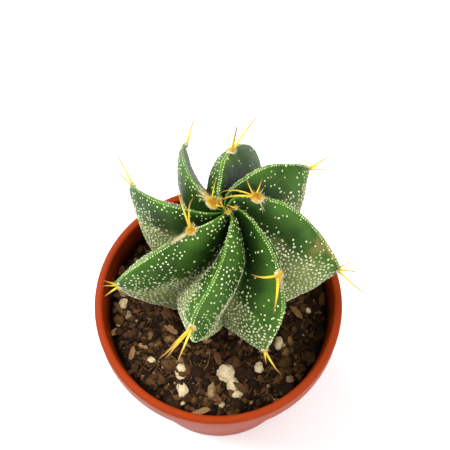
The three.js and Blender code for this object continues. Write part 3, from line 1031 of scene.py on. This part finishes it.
def dot_lines(nearest=0.24, furthest=0.34):
    """Thin strips on the skin, one on each side of each crest, for its dotted lines."""
    points, faces = [], []
    places = np.linspace(0.1, 1.9, 110)
    for rib in range(RIB_COUNT):
        for way in (-1, 1):
            start = len(points)
            for s in places:
                for distance in (nearest, furthest):
                    foot = to_scene(crest_side(rib, way, s, distance))
                    points.append(tuple(stem.closest_point_on_mesh(Vector(foot))[1]))
            for i in range(start, len(points) - 2, 2):
                faces.append((i, i + 1, i + 3, i + 2))
    mesh = bpy.data.meshes.new("dot_lines")
    mesh.from_pydata(points, [], faces)
    return mesh


def sow(name, mesh, cover, felt, **sizes):
    """One sort of fleck on a mesh."""
    sown = mesh.copy()
    store_on(sown, "cover", cover)
    return flecks.grow(name, sown, felt, {**sizes, "Seed": 4})


lines = dot_lines()
fleck_pieces = [
    sow("crest_dots", lines, np.ones(len(lines.vertices)), white_felt,
        Spacing=0.42, Density=60.0e6, Size=0.15, Height=0.5, Longest=1.2, Rings=2),
    sow("flank_tufts", stem.data, cover["flank_tufts"], white_felt,
        Spacing=0.74, Density=4.0e6, Size=0.22, Height=0.42, Longest=1.35, Rings=3),
    sow("low_felt", stem.data, cover["low_felt"], grey_felt,
        Spacing=0.74, Density=9.0e6, Size=0.25, Height=0.4, Longest=2.1, Rings=3),
]

# %% [markdown]
# ## Strands: spines, wool and root fibres
# A spine, a wool hair and a root fibre differ in size and finish, but each is a tapering
# strand on a curved path. So one recipe makes them all. Each start point carries its aim,
# the way it curls, its length and its thickness; the recipe puts a short line on each
# point, bends it along that path, and sweeps a small circle down it.

# %% Recipe of a strand


def strand_recipe():
    recipe = Recipe("strands", ("Tip Share", "Taper", "Waver"), ("Steps", "Sides"))
    points = recipe.node("GeometryNodeMeshToPoints", None, {"Mesh": recipe.given("Geometry")})
    points = recipe.store(points, "foot", recipe.position(), "FLOAT_VECTOR")
    line = recipe.node("GeometryNodeCurvePrimitiveLine")
    sockets = {"Curve": line, "Count": recipe.given("Steps")}
    line = recipe.node("GeometryNodeResampleCurve", None, sockets)
    curves = recipe.real(recipe.placed(points, line))
    t = recipe.node("GeometryNodeSplineParameter")
    length = recipe.named("length")
    curves = recipe.store(curves, "along", t)
    straight = recipe.scaled(recipe.named("aim", "FLOAT_VECTOR"), length * t)
    bent = recipe.scaled(recipe.named("curl", "FLOAT_VECTOR"), length * t * t)
    waver = recipe.scaled(recipe.wobble(1400.0, 1.0), recipe.given("Waver") * t * t)
    path = recipe.plus(recipe.named("foot", "FLOAT_VECTOR"), recipe.plus(straight, bent))
    curves = recipe.moved(recipe.moved(curves, Position=path), Offset=waver)
    tip = recipe.given("Tip Share")
    thin = tip + (1 - tip) * (1 - t) ** recipe.given("Taper")
    sockets = {"Resolution": recipe.given("Sides"), "Radius": 1.0}
    ring = recipe.node("GeometryNodeCurvePrimitiveCircle", None, sockets)
    sockets = {"Curve": curves, "Profile Curve": ring, "Fill Caps": True}
    sockets["Scale"] = recipe.named("girth") * thin
    recipe.close(recipe.node("GeometryNodeCurveToMesh", None, sockets))
    return recipe


class Starts:
    """The start points of strands, filled one by one."""

    WORDS = ("aim", "curl", "length", "girth", "tone")

    def __init__(self):
        self.rows = []

    def add(self, foot, aim, curl, length, girth, tone):
        """The foot is in metres, the length and the girth's radius in mm."""
        self.rows.append((foot, aim, curl, length * MM, girth * MM, tone))

    def mesh(self, name):
        feet, *columns = zip(*self.rows)
        return mesh_of_points(name, feet, **dict(zip(self.WORDS, columns)))


strands = strand_recipe()
print("strand recipe has", len(strands.tree.nodes), "nodes")

# %% Finish of the spines


def spine_finish():
    spine = Finish("spine_horn", Roughness=0.35, Coat_Weight=0.05)
    along = spine.attribute("along")
    tone = spine.attribute("tone")
    grain = spine.noise(0.35, 3.0)
    place = along + (grain - 0.5) * 0.12
    colour = spine.ramp(
        place,
        (0.0, paint(170, 122, 3)),
        (0.12, paint(204, 166, 10)),
        (0.4, paint(226, 204, 46)),
        (0.7, paint(188, 152, 26)),
        (0.88, paint(146, 106, 24)),
        (1.0, paint(96, 62, 18)),
    )
    colour = spine.blend(tone * 0.2, colour, paint(160, 106, 8))
    rings = (along * 90.0).math("SINE")
    relief = spine.relief(grain + rings * 0.2, 0.06, 0.6)
    return spine.finish(colour, 0.3 + 0.2 * grain, relief)


spine_material = spine_finish()
print("spine finish has", len(spine_material.node_tree.nodes), "nodes")

# %% [markdown]
# ## The spines
# Each spine starts just inside its wool. Its turn and tilt are measured on the areole, so
# they are turned into a direction in the scene here. Most spines curve a little away from
# the skin, and the list above gives the others their own curve.

# %% Grow the spines
SPINE_R = 0.26
SPINE_ROOT = 0.7
SPINE_BEND = 0.1

# From this place on, an areole is old: its spines are thicker and its wool paler
OLD_AREOLE = 0.4
OLD_GIRTH = 1.4
random = np.random.default_rng(11)


def aimed(axes, turn, tilt):
    out, down, left = axes
    flat = down * math.cos(turn * DEGREE) + left * math.sin(turn * DEGREE)
    return unit(out * math.cos(tilt * DEGREE) + flat * math.sin(tilt * DEGREE)), flat


def spine_starts():
    starts = Starts()
    for rib, at, wool, spines in AREOLES:
        axes = stem_axes(rib, at)
        out = axes[0]
        amber = random.uniform(0.0, 0.5) + (0.4 if at < 0.3 else 0)
        age = OLD_GIRTH if at > OLD_AREOLE else 1
        for turn, tilt, length, *curve in spines:
            aim, flat = aimed(axes, turn, tilt)
            bend = aimed(axes, curve[0], 90)[1] * curve[1] if curve else out * SPINE_BEND
            foot = stem_point(rib, at) + flat * wool * 0.35 + out * 0.25 - aim * SPINE_ROOT
            starts.add(
                to_scene(foot),
                turn_to_scene(aim),
                turn_to_scene(bend),
                length + SPINE_ROOT,
                SPINE_R * (0.62 + 0.04 * length) * age * random.uniform(0.85, 1.1),
                min(1, amber + random.uniform(0, 0.3)),
            )
    return starts.mesh("spine_starts")


SPINES = {"Steps": 14, "Sides": 9, "Tip Share": 0.15, "Taper": 0.75, "Waver": 0.5}
spines = strands.grow("spines", spine_starts(), spine_material, SPINES)

# %% [markdown]
# ## The wool
# Each areole is a little cushion of matted wool with loose hairs standing out of it. The
# cushion is a lumpy dome, and the hairs are strands from the same recipe, thinner, shorter
# and curled at random.

# %% Finish of the wool


def wool_finish():
    wool = Finish("cream_wool", Roughness=0.95)
    tone = wool.attribute("tone")
    patch = wool.noise(0.5, 3.0)
    fine = wool.noise(0.1, 3.0, 0.7)
    place = (tone + (patch - 0.5) * 0.95).clamped()
    colour = wool.ramp(
        place,
        (0.0, paint(150, 98, 2)),
        (0.3, paint(206, 158, 10)),
        (0.62, paint(226, 192, 66)),
        (1.0, paint(238, 232, 190)),
    )
    colour = wool.blend(fine.smooth(0.6, 0.3) * 0.5, colour, paint(130, 84, 12))
    return wool.finish(colour, None, wool.relief(fine, 0.16, 1.0))


wool_material = wool_finish()
print("wool has", len(wool_material.node_tree.nodes), "nodes")

# %% Shape the wool cushions
WOOL_FLAT = 0.55
CUSHION_RINGS = 9
CUSHION_SIDES = 24

# Where wool trails down the crest from an areole: how far, in the crest's own steps
TRAILS = {(0, 0.235): 0.1, (2, 0.47): 0.08, (6, 0.08): 0.07}


def cushions_of(rib, at, wool):
    """The cushion of an areole and the smaller ones of its trail: place and size of each."""
    made = [(rib, at, wool * 0.78)]
    reach = TRAILS.get((rib, at), 0)
    for share in np.linspace(0.35, 1.0, 8) if reach else ():
        made.append((rib, at + reach * share, wool * (0.3 - 0.18 * share)))
    return made


def wool_tone(spread, turn, at):
    """Amber (0) at the middle of an areole, cream (1) at its edge, and paler with age."""
    age = 0.4 if at > OLD_AREOLE else 0
    return min(1, max(0, spread**2.2 + 0.22 * math.cos(turn) * spread + age))


def cushion_rows(rib, at, wool):
    """One dome on the skin, with a lumpy surface; tone grows from its middle to its edge."""
    out, down, left = stem_axes(rib, at)
    foot = stem_point(rib, at)
    rows, tones = [], []
    for ring in range(CUSHION_RINGS + 1):
        lift = math.pi * ring / CUSHION_RINGS
        row = []
        for i in range(1 if ring in (0, CUSHION_RINGS) else CUSHION_SIDES):
            turn = 2 * math.pi * i / CUSHION_SIDES
            swell = 1 + random.uniform(-0.1, 0.1)
            flat = down * 0.95 * math.cos(turn) + left * 0.82 * math.sin(turn)
            level = out * WOOL_FLAT * math.cos(lift)
            row.append(foot + (flat * math.sin(lift) + level) * wool * swell)
            tones.append(wool_tone(math.sin(lift), turn, at) if lift < math.pi / 2 else 1)
        rows.append(to_scene(row))
    return rows, tones


def joined(name, meshes):
    """One mesh out of several."""
    points, faces = [], []
    for mesh in meshes:
        start = len(points)
        points.extend(tuple(v.co) for v in mesh.vertices)
        faces.extend([start + i for i in face.vertices] for face in mesh.polygons)
    whole = bpy.data.meshes.new(name)
    whole.from_pydata(points, [], faces)
    return whole


def wool_cushions():
    meshes, tones = [], []
    for rib, at, wool, _ in AREOLES:
        for place in cushions_of(rib, at, wool):
            rows, tone = cushion_rows(*place)
            mesh = mesh_of_rows("cushion", rows)
            face_outwards(mesh)
            meshes.append(mesh)
            tones.extend(tone if place[1] == at else [1.0] * len(tone))
    whole = joined("wool_cushions", meshes)
    store_on(whole, "tone", tones)
    return finished("wool_cushions", whole, wool_material)


cushions = wool_cushions()
print("cushions:", triangles(cushions), "triangles")

# %% Grow the loose hairs of the wool
HAIRS_EACH = 260
HAIR_LONGEST = 0.6

# Fringes of long cream hairs: rib and place of the areole, how many hairs, the turn that they
# lean towards, how far they fan out on each side of it, and the longest in mm
FRINGES = [
    (0, 0.235, 26, 200, 50, 1.0),
    (3, 0.19, 7, 10, 40, 1.8),
    (3, 0.19, 2, 64, 3, 4.2),
    (3, 0.19, 2, 308, 6, 2.6),
    (6, 0.08, 24, 350, 12, 3.4),
]


def cushion_hairs(starts, rib, at, wool):
    """The hairs of one areole, on its cushion and on the ones of its trail."""
    for number, (_, place, size) in enumerate(cushions_of(rib, at, wool)):
        out, down, left = stem_axes(rib, place)
        middle = stem_point(rib, place)
        for _ in range(int(HAIRS_EACH * size / 1.4)):
            turn = random.uniform(0, 2 * math.pi)
            spread = random.uniform(0.05, 1.0) ** 0.5
            flat = down * math.cos(turn) + left * 0.85 * math.sin(turn)
            lift = out * WOOL_FLAT * math.sqrt(max(0, 1 - spread**2))
            foot = middle + (flat * spread + lift) * size * 0.9
            aim = unit(flat * (0.3 + spread) + out * random.uniform(0.0, 0.7) + down * 0.25)
            starts.add(
                to_scene(foot),
                turn_to_scene(aim),
                turn_to_scene(random.normal(0, 0.5, 3)),
                random.uniform(0.25, HAIR_LONGEST) * (0.7 + size * 0.25),
                random.uniform(0.016, 0.03),
                1.0 if number else wool_tone(spread, turn, at) + 0.1,
            )


def fringe_hairs(starts, rib, at, count, middle, fan, longest):
    """A fan of long, slightly thicker hairs from the edge of one areole."""
    out, down, left = stem_axes(rib, at)
    for _ in range(count):
        turn = random.normal(middle, fan) * DEGREE
        flat = down * math.cos(turn) + left * math.sin(turn)
        starts.add(
            to_scene(stem_point(rib, at) + flat + out * 0.3),
            turn_to_scene(unit(flat + out * random.uniform(0.0, 0.35))),
            turn_to_scene(random.normal(0, 0.25, 3)),
            longest * random.uniform(0.4, 1.0),
            random.uniform(0.05, 0.085),
            1.0,
        )


def hair_starts():
    starts = Starts()
    for rib, at, wool, _ in AREOLES:
        cushion_hairs(starts, rib, at, wool)
    for fringe in FRINGES:
        fringe_hairs(starts, *fringe)
    return starts.mesh("hair_starts")


HAIRS = {"Steps": 5, "Sides": 3, "Tip Share": 0.3, "Taper": 1.0, "Waver": 0.5}
wool_hairs = strands.grow("wool_hairs", hair_starts(), wool_material, HAIRS)

# %% [markdown]
# ## The pot
# The pot is one thin moulding in terracotta-coloured plastic: a tapered wall, a thick collar
# and a rolled lip, with drain holes in the floor. It is round, so its outline is turned
# about the axis. The holes are cut with a Boolean, which is simple and exact here.

# %% Finish of the pot


def pot_finish():
    plastic = Finish("terracotta_plastic", Roughness=0.5, IOR=1.42)
    plastic.shader.inputs["Specular IOR Level"].default_value = 0.12
    cloud = plastic.noise(9.0, 3.0)
    grain = plastic.noise(0.28, 3.0, 0.6)
    colour = plastic.blend(cloud.smooth(0.3, 0.7), paint(134, 43, 2), paint(138, 46, 4))
    dust = plastic.noise(1.6, 5.0, 0.7).smooth(0.62, 0.78)
    colour = plastic.blend(dust * 0.09, colour, paint(196, 122, 76))
    # Painted shade: the inner wall turns near black down towards the mix.
    colour = plastic.blend(painted_wall_shade(plastic) * 0.9, colour, paint(34, 17, 7))
    rough = 0.42 + 0.14 * grain + 0.18 * dust
    return plastic.finish(colour, rough, plastic.relief(grain, 0.05, 0.5))


def painted_wall_shade(plastic):
    """Painted shade on the inner wall: 1 down at the mix, 0 below the lip, with a ragged edge."""
    x, y, z = plastic.parts(plastic.place())
    inside = (x * x + y * y) ** 0.5 < (RIM_R - LIP_WIDTH) * MM
    inside = inside * (z > (POT_HEIGHT - SOIL_DROP - 2) * MM)
    ragged = (plastic.noise(2.5, 4.0) - 0.5) * 5 * MM
    return (z + ragged).smooth((POT_HEIGHT - 1) * MM, (POT_HEIGHT - SOIL_DROP) * MM) * inside


pot_material = pot_finish()
print("pot finish has", len(pot_material.node_tree.nodes), "nodes")

# %% Turn the pot and drill it
POT_SIDES = 180
DRAIN_SIDES = 32
SHARP_FROM = 40 * DEGREE


def inner_wall_r(z):
    top = RIM_R - LIP_WIDTH
    return FOOT_R - WALL + (top - FOOT_R + WALL) * (z / POT_HEIGHT)


def pot_outline():
    """Radius and height of the outline, from the underside's middle round to the floor's.

    The small numbers are the moulding's soft edges and fillets, in mm.
    """
    collar_z = POT_HEIGHT - COLLAR_HEIGHT
    wall_top = RIM_R - COLLAR_STEP
    return [
        (0, 0),
        (FOOT_R - 1.6, 0),
        (FOOT_R - EDGE, 0),
        *rounded(FOOT_R - EDGE, EDGE, EDGE, -90, 0, 4)[1:],
        (FOOT_R + 0.1, EDGE + 0.6),
        (wall_top - 0.18, collar_z - 0.5),
        (wall_top - 0.05, collar_z - 0.15),
        (wall_top + 0.25, collar_z),
        *rounded(RIM_R - 0.65, collar_z + 0.55, 0.5, -80, 0, 4),
        (RIM_R - 0.02, POT_HEIGHT - 1.3),
        *rounded(RIM_R - 0.8, POT_HEIGHT - 0.8, 0.8, 0, 90, 6),
        *rounded(RIM_R - LIP_WIDTH + 0.7, POT_HEIGHT - 0.7, 0.7, 90, 180, 6),
        (inner_wall_r(POT_HEIGHT - 3) + 0.02, POT_HEIGHT - 3),
        (inner_wall_r(FLOOR + 1.2), FLOOR + 1.2),
        (inner_wall_r(FLOOR) - 0.9, FLOOR),
        (0, FLOOR),
    ]


def rounded(r, z, radius, first, last, steps):
    """Points of a round edge about a centre, by angle in degrees."""
    angles = np.linspace(first, last, steps) * DEGREE
    return [(r + radius * math.cos(t), z + radius * math.sin(t)) for t in angles]


def turned_rows(outline, sides):
    rows = []
    for r, z in outline:
        if r == 0:
            rows.append([(0, 0, z * MM)])
            continue
        angles = np.arange(sides) * 2 * math.pi / sides
        rows.append([(r * MM * math.cos(t), r * MM * math.sin(t), z * MM) for t in angles])
    return rows


def drill_mesh():
    """A round cutter for each drain hole, as one mesh."""
    outline = [(0, -FLOOR), (DRAIN_R, -FLOOR), (DRAIN_R, 2 * FLOOR), (0, 2 * FLOOR)]
    drills = []
    for i in range(DRAIN_HOLES):
        angle = (i + 0.5) * 2 * math.pi / DRAIN_HOLES
        centre = np.array([math.cos(angle), math.sin(angle), 0]) * DRAIN_RING_R * MM
        rows = [np.array(row) + centre for row in turned_rows(outline, DRAIN_SIDES)]
        drills.append(mesh_of_rows("drill", rows))
        face_outwards(drills[-1])
    return joined("drills", drills)


def make_pot():
    mesh = mesh_of_rows("pot_body", turned_rows(pot_outline(), POT_SIDES))
    face_outwards(mesh)
    plain = as_piece("pot_body", mesh)
    drills = as_piece("drills", drill_mesh())
    cut = plain.modifiers.new("drain_holes", "BOOLEAN")
    cut.operation = "DIFFERENCE"
    cut.object = drills
    cut.solver = "EXACT"
    shown = bpy.context.evaluated_depsgraph_get()
    cut_mesh = bpy.data.meshes.new_from_object(plain.evaluated_get(shown), depsgraph=shown)
    bpy.data.objects.remove(plain)
    bpy.data.objects.remove(drills)
    cut_mesh.materials.clear()
    drilled = finished("pot_body", cut_mesh, pot_material)
    cut_mesh.set_sharp_from_angle(angle=SHARP_FROM)
    return drilled


pot = make_pot()
print("pot:", triangles(pot), "triangles")

# %% [markdown]
# ## The potting mix
# The mix is mostly dark peat crumbs, with bark bits, grit, and pale grains of pumice and
# perlite. First comes the bed: a closed lumpy body that fills the pot, with a hole for the
# stem. Thousands of grains then lie on it, so the surface is real crumbs and not a picture
# of them.

# %% Finish of the mix


def crumb_finish(name, dark, middle, light, grain_mm, rough):
    """A dull finish for bed and grains; each grain carries its own tone from 0 to 1."""
    crumb = Finish(name, Roughness=rough)
    crumb.shader.inputs["Specular IOR Level"].default_value = 0.15
    tone = crumb.attribute("tone")
    patch = crumb.noise(grain_mm, 4.0, 0.65)
    fine = crumb.noise(grain_mm * 0.2, 3.0, 0.7)
    share = (tone * 0.75 + (patch - 0.5) * 0.9 + 0.12).clamped()
    colour = crumb.ramp(share, (0.0, dark), (0.5, middle), (1.0, light))
    height = patch * 0.6 + fine * 0.5
    return crumb.finish(colour, None, crumb.relief(height, 0.25, 0.8))


# Dark, middle and light colour, the size of the grain in mm, and the roughness
CRUMB = {
    "peat": (paint(15, 8, 3), paint(40, 23, 9), paint(94, 64, 32), 1.2, 0.9),
    "bark": (paint(42, 26, 12), paint(88, 60, 34), paint(150, 114, 74), 0.9, 0.85),
    "pumice": (paint(140, 116, 74), paint(192, 172, 132), paint(228, 216, 184), 0.7, 0.95),
    "grit": (paint(66, 48, 30), paint(116, 92, 62), paint(176, 150, 108), 0.6, 0.7),
}
crumbs = {name: crumb_finish(name, *values) for name, values in CRUMB.items()}
print("finishes of the mix:", list(crumbs))

# %% Make the bed
BED_SIDES = 160
BED_RINGS = 60


def soil_top(x, y):
    """The same gentle swell as the CAD solid's top, in mm."""
    soft = math.sin(0.55 * x + 1.3) * math.cos(0.48 * y - 0.4) + 0.6 * math.sin(0.9 * y + 0.7 * x)
    return POT_HEIGHT - SOIL_DROP + SOIL_SWELL * soft


def bed_radius(z):
    return inner_wall_r(z) - CLEARANCE


def hole_rows():
    """The hole for the stem, from its mouth down: rings that follow the stem's own outline."""
    rows = []
    for s in (2.0, 2.2, 2.5, 2.8, 3.0):
        row = []
        for i in range(BED_SIDES):
            x, y, z = stem_point(i * RIB_COUNT / BED_SIDES, s)
            wider = 1 + CLEARANCE / math.hypot(x, y)
            row.append((x * wider, y * wider, z))
        rows.append(to_scene(row) / MM)
    return rows


def bed_mesh():
    edge = bed_radius(POT_HEIGHT - SOIL_DROP)
    rows = hole_rows()[::-1]
    rows.insert(0, np.array([rows[0].mean(axis=0)]))
    mouth = rows[-1]
    angles = np.unwrap([math.atan2(y - BASE[1], x - BASE[0]) for x, y, _ in mouth])
    for ring in range(1, BED_RINGS + 1):
        share = ring / BED_RINGS
        row = []
        for i, t in enumerate(angles):
            outer = np.array([edge * math.cos(t), edge * math.sin(t)])
            x, y = mouth[i][:2] * (1 - share) + outer * share
            sunk = 0.8 * max(0, share - 0.93) / 0.07
            row.append((x, y, soil_top(x, y) - sunk))
        rows.append(np.array(row))
    for z in (FLOOR + 1.6, FLOOR + CLEARANCE):
        r = bed_radius(z) - (1.2 if z < FLOOR + 1 else 0)
        rows.append(np.array([(r * math.cos(t), r * math.sin(t), z) for t in angles]))
    rows.append(np.array([(0, 0, FLOOR + CLEARANCE)]))
    return mesh_of_rows("soil_bed", [row * MM for row in rows])


bed = finished("soil_bed", bed_mesh(), crumbs["peat"])
print("bed volume in cubic mm:", round(face_outwards(bed.data) / MM**3))

# %% Recipe of loose grains
GRAIN_WORDS = ("Spacing", "Density", "Smallest", "Largest", "Long", "Flat", "Rough", "Rise")


def grain_recipe():
    recipe = Recipe("grains", GRAIN_WORDS, ("Detail", "Seed"))
    share = recipe.chance(0.0, 1.0, 21)
    size = recipe.given("Smallest").towards(recipe.given("Largest"), share * share)
    lift = recipe.vector(0.0, 0.0, size * recipe.given("Rise"))
    raised = recipe.moved(recipe.spread("free"), Offset=lift)
    sockets = {"Radius": 1.0, "Subdivisions": recipe.given("Detail")}
    lump = recipe.node("GeometryNodeMeshIcoSphere", None, sockets)
    long = size * recipe.given("Long") * recipe.chance(0.75, 1.25, 22)
    scale = recipe.vector(long, size, size * recipe.given("Flat") * recipe.chance(0.75, 1.2, 23))
    tumble = recipe.chance_vector((-0.5, -0.5, 0.0), (0.5, 0.5, FULL_TURN), 24)
    turned = recipe.node("FunctionNodeEulerToRotation", None, {0: tumble})
    placed = recipe.placed(raised, lump, Rotation=turned, Scale=scale)
    toned = recipe.store(placed, "tone", recipe.chance(0.0, 1.0, 25), domain="INSTANCE")
    toned = recipe.store(toned, "size", size, domain="INSTANCE")
    amount = recipe.named("size") * recipe.given("Rough")
    rough = recipe.scaled(recipe.wobble(0.9 / MM, 2.0), amount)
    recipe.close(recipe.moved(recipe.real(toned), Offset=rough))
    return recipe


def mark_free(mesh):
    """Marks where grains may lie: on the bed's open top, clear of the wall."""
    values = []
    edge = bed_radius(POT_HEIGHT - SOIL_DROP) * MM
    for vertex in mesh.vertices:
        x, y, z = vertex.co
        open_top = z > (POT_HEIGHT - SOIL_DROP - 1.7) * MM
        off_wall = math.hypot(x, y) < edge - 0.5 * MM
        values.append(1.0 if open_top and off_wall else 0.0)
    store_on(mesh, "free", values)
    return sum(values)


print("bed points free for grains:", mark_free(bed.data))
grains = grain_recipe()

# %% Scatter the mix

# The finish, the numbers of GRAIN_WORDS in its order, and then the detail and the seed
MIX = {
    "peat_crumbs": ("peat", (0.48, 4.5e6, 0.18, 0.85, 1.2, 0.8, 1.1, 0.3), 2, 1),
    "peat_lumps": ("peat", (2.0, 1.3e5, 0.8, 1.7, 1.25, 0.75, 1.1, 0.25), 3, 2),
    "bark_bits": ("bark", (2.0, 1.0e5, 0.35, 0.95, 2.6, 0.4, 0.8, 0.9), 3, 3),
    "pale_grit": ("grit", (1.1, 2.6e5, 0.14, 0.45, 1.2, 0.8, 0.9, 1.0), 2, 5),
    "pumice_grains": ("pumice", (4.0, 1.4e4, 0.5, 1.1, 1.15, 0.8, 1.0, 0.5), 3, 8),
}
mix_pieces = []
for name, (kind, numbers, detail, seed) in MIX.items():
    sizes = {**dict(zip(GRAIN_WORDS, numbers)), "Detail": detail, "Seed": seed}
    mix_pieces.append(grains.grow(name, bed.data, crumbs[kind], sizes))

# %% [markdown]
# Fine root and coir fibres lie across the crumbs. They come from the same recipe as the
# spines, nearly flat and curling sideways.

# %% Lay the fibres
FIBRES = 700


def fibre_starts():
    starts = Starts()
    edge = bed_radius(POT_HEIGHT - SOIL_DROP) - 2.0
    while len(starts.rows) < FIBRES:
        r = edge * math.sqrt(random.uniform(0, 1))
        turn, way = random.uniform(0, 2 * math.pi, 2)
        x, y = r * math.cos(turn), r * math.sin(turn)
        if math.hypot(x - BASE[0], y - BASE[1]) < CREST_BASE_R:
            continue
        length = random.uniform(1.2, 4.5)
        if math.hypot(x + length * math.cos(way), y + length * math.sin(way)) > edge:
            continue
        foot = np.array([x, y, soil_top(x, y) + random.uniform(0.3, 0.9)]) * MM
        aim = (math.cos(way), math.sin(way), random.uniform(-0.08, 0.16))
        sideways = random.normal(0, 0.35)
        curl = (-math.sin(way) * sideways, math.cos(way) * sideways, -0.1)
        starts.add(foot, aim, curl, length, random.uniform(0.04, 0.11), random.uniform(0, 1) ** 2)
    return starts.mesh("fibre_starts")


ROOTS = {"Steps": 7, "Sides": 4, "Tip Share": 0.5, "Taper": 1.0, "Waver": 0.9}
fibres = strands.grow("root_fibres", fibre_starts(), crumbs["bark"], ROOTS)

# %% [markdown]
# A few large grains stand out in the photograph, mostly pale pumice in front of the plant.
# They are placed one by one, each a rough lump of its own, with its place and half-sizes in mm.

# %% Place the large grains
LARGE = {
    "pumice": [
        (1.5, -14.6, 2.0, 1.9, 1.6),
        (3.2, -17.2, 1.5, 1.6, 1.3),
        (4.2, -19.4, 1.2, 1.0, 0.9),
        (-8.3, -14.2, 1.5, 1.7, 1.2),
        (-7.9, -18.2, 1.4, 2.0, 1.2),
        (9.0, -13.2, 1.1, 1.5, 1.0),
        (13.6, -7.6, 1.0, 1.6, 0.9),
    ],
    "bark": [
        (14.9, -9.8, 1.0, 1.3, 0.9),
        (-22.0, 9.4, 1.2, 1.6, 1.1),
        (-15.3, 0.6, 1.3, 1.0, 0.9),
        (-14.9, -6.1, 1.0, 1.1, 0.9),
        (-10.9, -6.4, 1.6, 1.0, 0.8),
    ],
    "grit": [
        (-1.4, -18.7, 0.9, 1.9, 1.0),
        (15.9, -16.0, 0.9, 1.0, 0.8),
        (-21.6, 4.1, 1.1, 1.2, 0.9),
        (-20.4, -1.1, 0.9, 1.0, 0.8),
    ],
}
LARGE_TONE = 0.65

# How fast the waves that shake a stone's surface run, and how far each swings
WAVE_SPEEDS = np.repeat([1.4, 3.5, 8.0], 8)
WAVE_SWINGS = np.repeat([0.045, 0.03, 0.014], 8)


def lump_mesh(x, y, half_x, half_y, half_z, rings=26, sides=44):
    """A rough stone: a ball whose radius is shaken by a few random waves."""
    waves = random.normal(0, 1, (len(WAVE_SPEEDS), 3)) * WAVE_SPEEDS[:, None]
    phases = random.uniform(0, 2 * math.pi, len(WAVE_SPEEDS))
    rows = []
    for ring in range(rings + 1):
        lift = math.pi * ring / rings
        row = []
        for i in range(1 if ring in (0, rings) else sides):
            turn = 2 * math.pi * i / sides
            flat = math.sin(lift)
            way = np.array([flat * math.cos(turn), flat * math.sin(turn), -math.cos(lift)])
            shake = float(np.sin(waves @ way + phases) @ WAVE_SWINGS)
            point = way * (1 + shake) * np.array([half_x, half_y, half_z])
            row.append((point + np.array([x, y, soil_top(x, y) + half_z * 0.45])) * MM)
        rows.append(row)
    mesh = mesh_of_rows("lump", rows)
    face_outwards(mesh)
    return mesh


def large_grains(kind):
    whole = joined("large_" + kind, [lump_mesh(*row) for row in LARGE[kind]])
    store_on(whole, "tone", [LARGE_TONE] * len(whole.vertices))
    return finished("large_" + kind, whole, crumbs[kind])


large_pieces = [large_grains(kind) for kind in LARGE]
print("large grains:", sum(len(rows) for rows in LARGE.values()))

# %% [markdown]
# ## Hand the pieces to the plain model
# Each piece rides on the one body and stands for a CAD node, which is then hidden.

# %% Ride and replace
PARTS = {
    "pot": [pot],
    "soil": [bed, *mix_pieces, fibres, *large_pieces],
    "cactus": [stem, *fleck_pieces, cushions, wool_hairs, spines],
}
for node, made in PARTS.items():
    for piece in made:
        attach(piece, "root")
    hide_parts(node)
total = sum(triangles(piece) for made in PARTS.values() for piece in made)
print("pieces:", sum(len(made) for made in PARTS.values()), "triangles:", total)

# %% [markdown]
# ## Floor and light
# The pot stands on a plain pale surface under broad soft light, brightest from the upper
# left. Large area lamps close by give soft shadows, and a bright even sky lifts them.

# %% Make the floor and the lamps
FLOOR_SIZE = 2.4


def add_floor():
    half = FLOOR_SIZE / 2
    corners = [(-half, -half, 0), (half, -half, 0), (half, half, 0), (-half, half, 0)]
    mesh = bpy.data.meshes.new("table_top")
    mesh.from_pydata(corners, [], [(0, 1, 2, 3)])
    floor = as_piece("table_top", mesh)
    white = Finish("table_white", Roughness=0.6)
    speck = white.noise(20.0, 2.0)
    colour = white.blend(speck, paint(250, 251, 252), paint(253, 253, 253))
    mesh.materials.append(white.finish(colour))


def add_lamp(name, place_mm, size_mm, watts):
    data = bpy.data.lights.new(name, "AREA")
    data.shape = "DISK"
    data.size = size_mm * MM
    data.energy = watts
    lamp = bpy.data.objects.new(name, data)
    lamp.location = Vector(place_mm) * MM
    towards = lamp.location - Vector((0, 5, 45)) * MM
    lamp.rotation_euler = towards.to_track_quat("Z", "Y").to_euler()
    bpy.context.scene.collection.objects.link(lamp)


def add_sky(strength):
    sky = bpy.data.worlds.new("sky")
    sky.use_nodes = True
    background = sky.node_tree.nodes["Background"]
    background.inputs["Color"].default_value = (1, 1, 1, 1)
    background.inputs["Strength"].default_value = strength
    bpy.context.scene.world = sky


add_floor()
add_lamp("window", (-400, 200, 640), 640, 8.8)
add_lamp("fill", (380, -300, 420), 500, 2.5)
add_sky(0.82)
bpy.context.scene.view_settings.view_transform = "Standard"
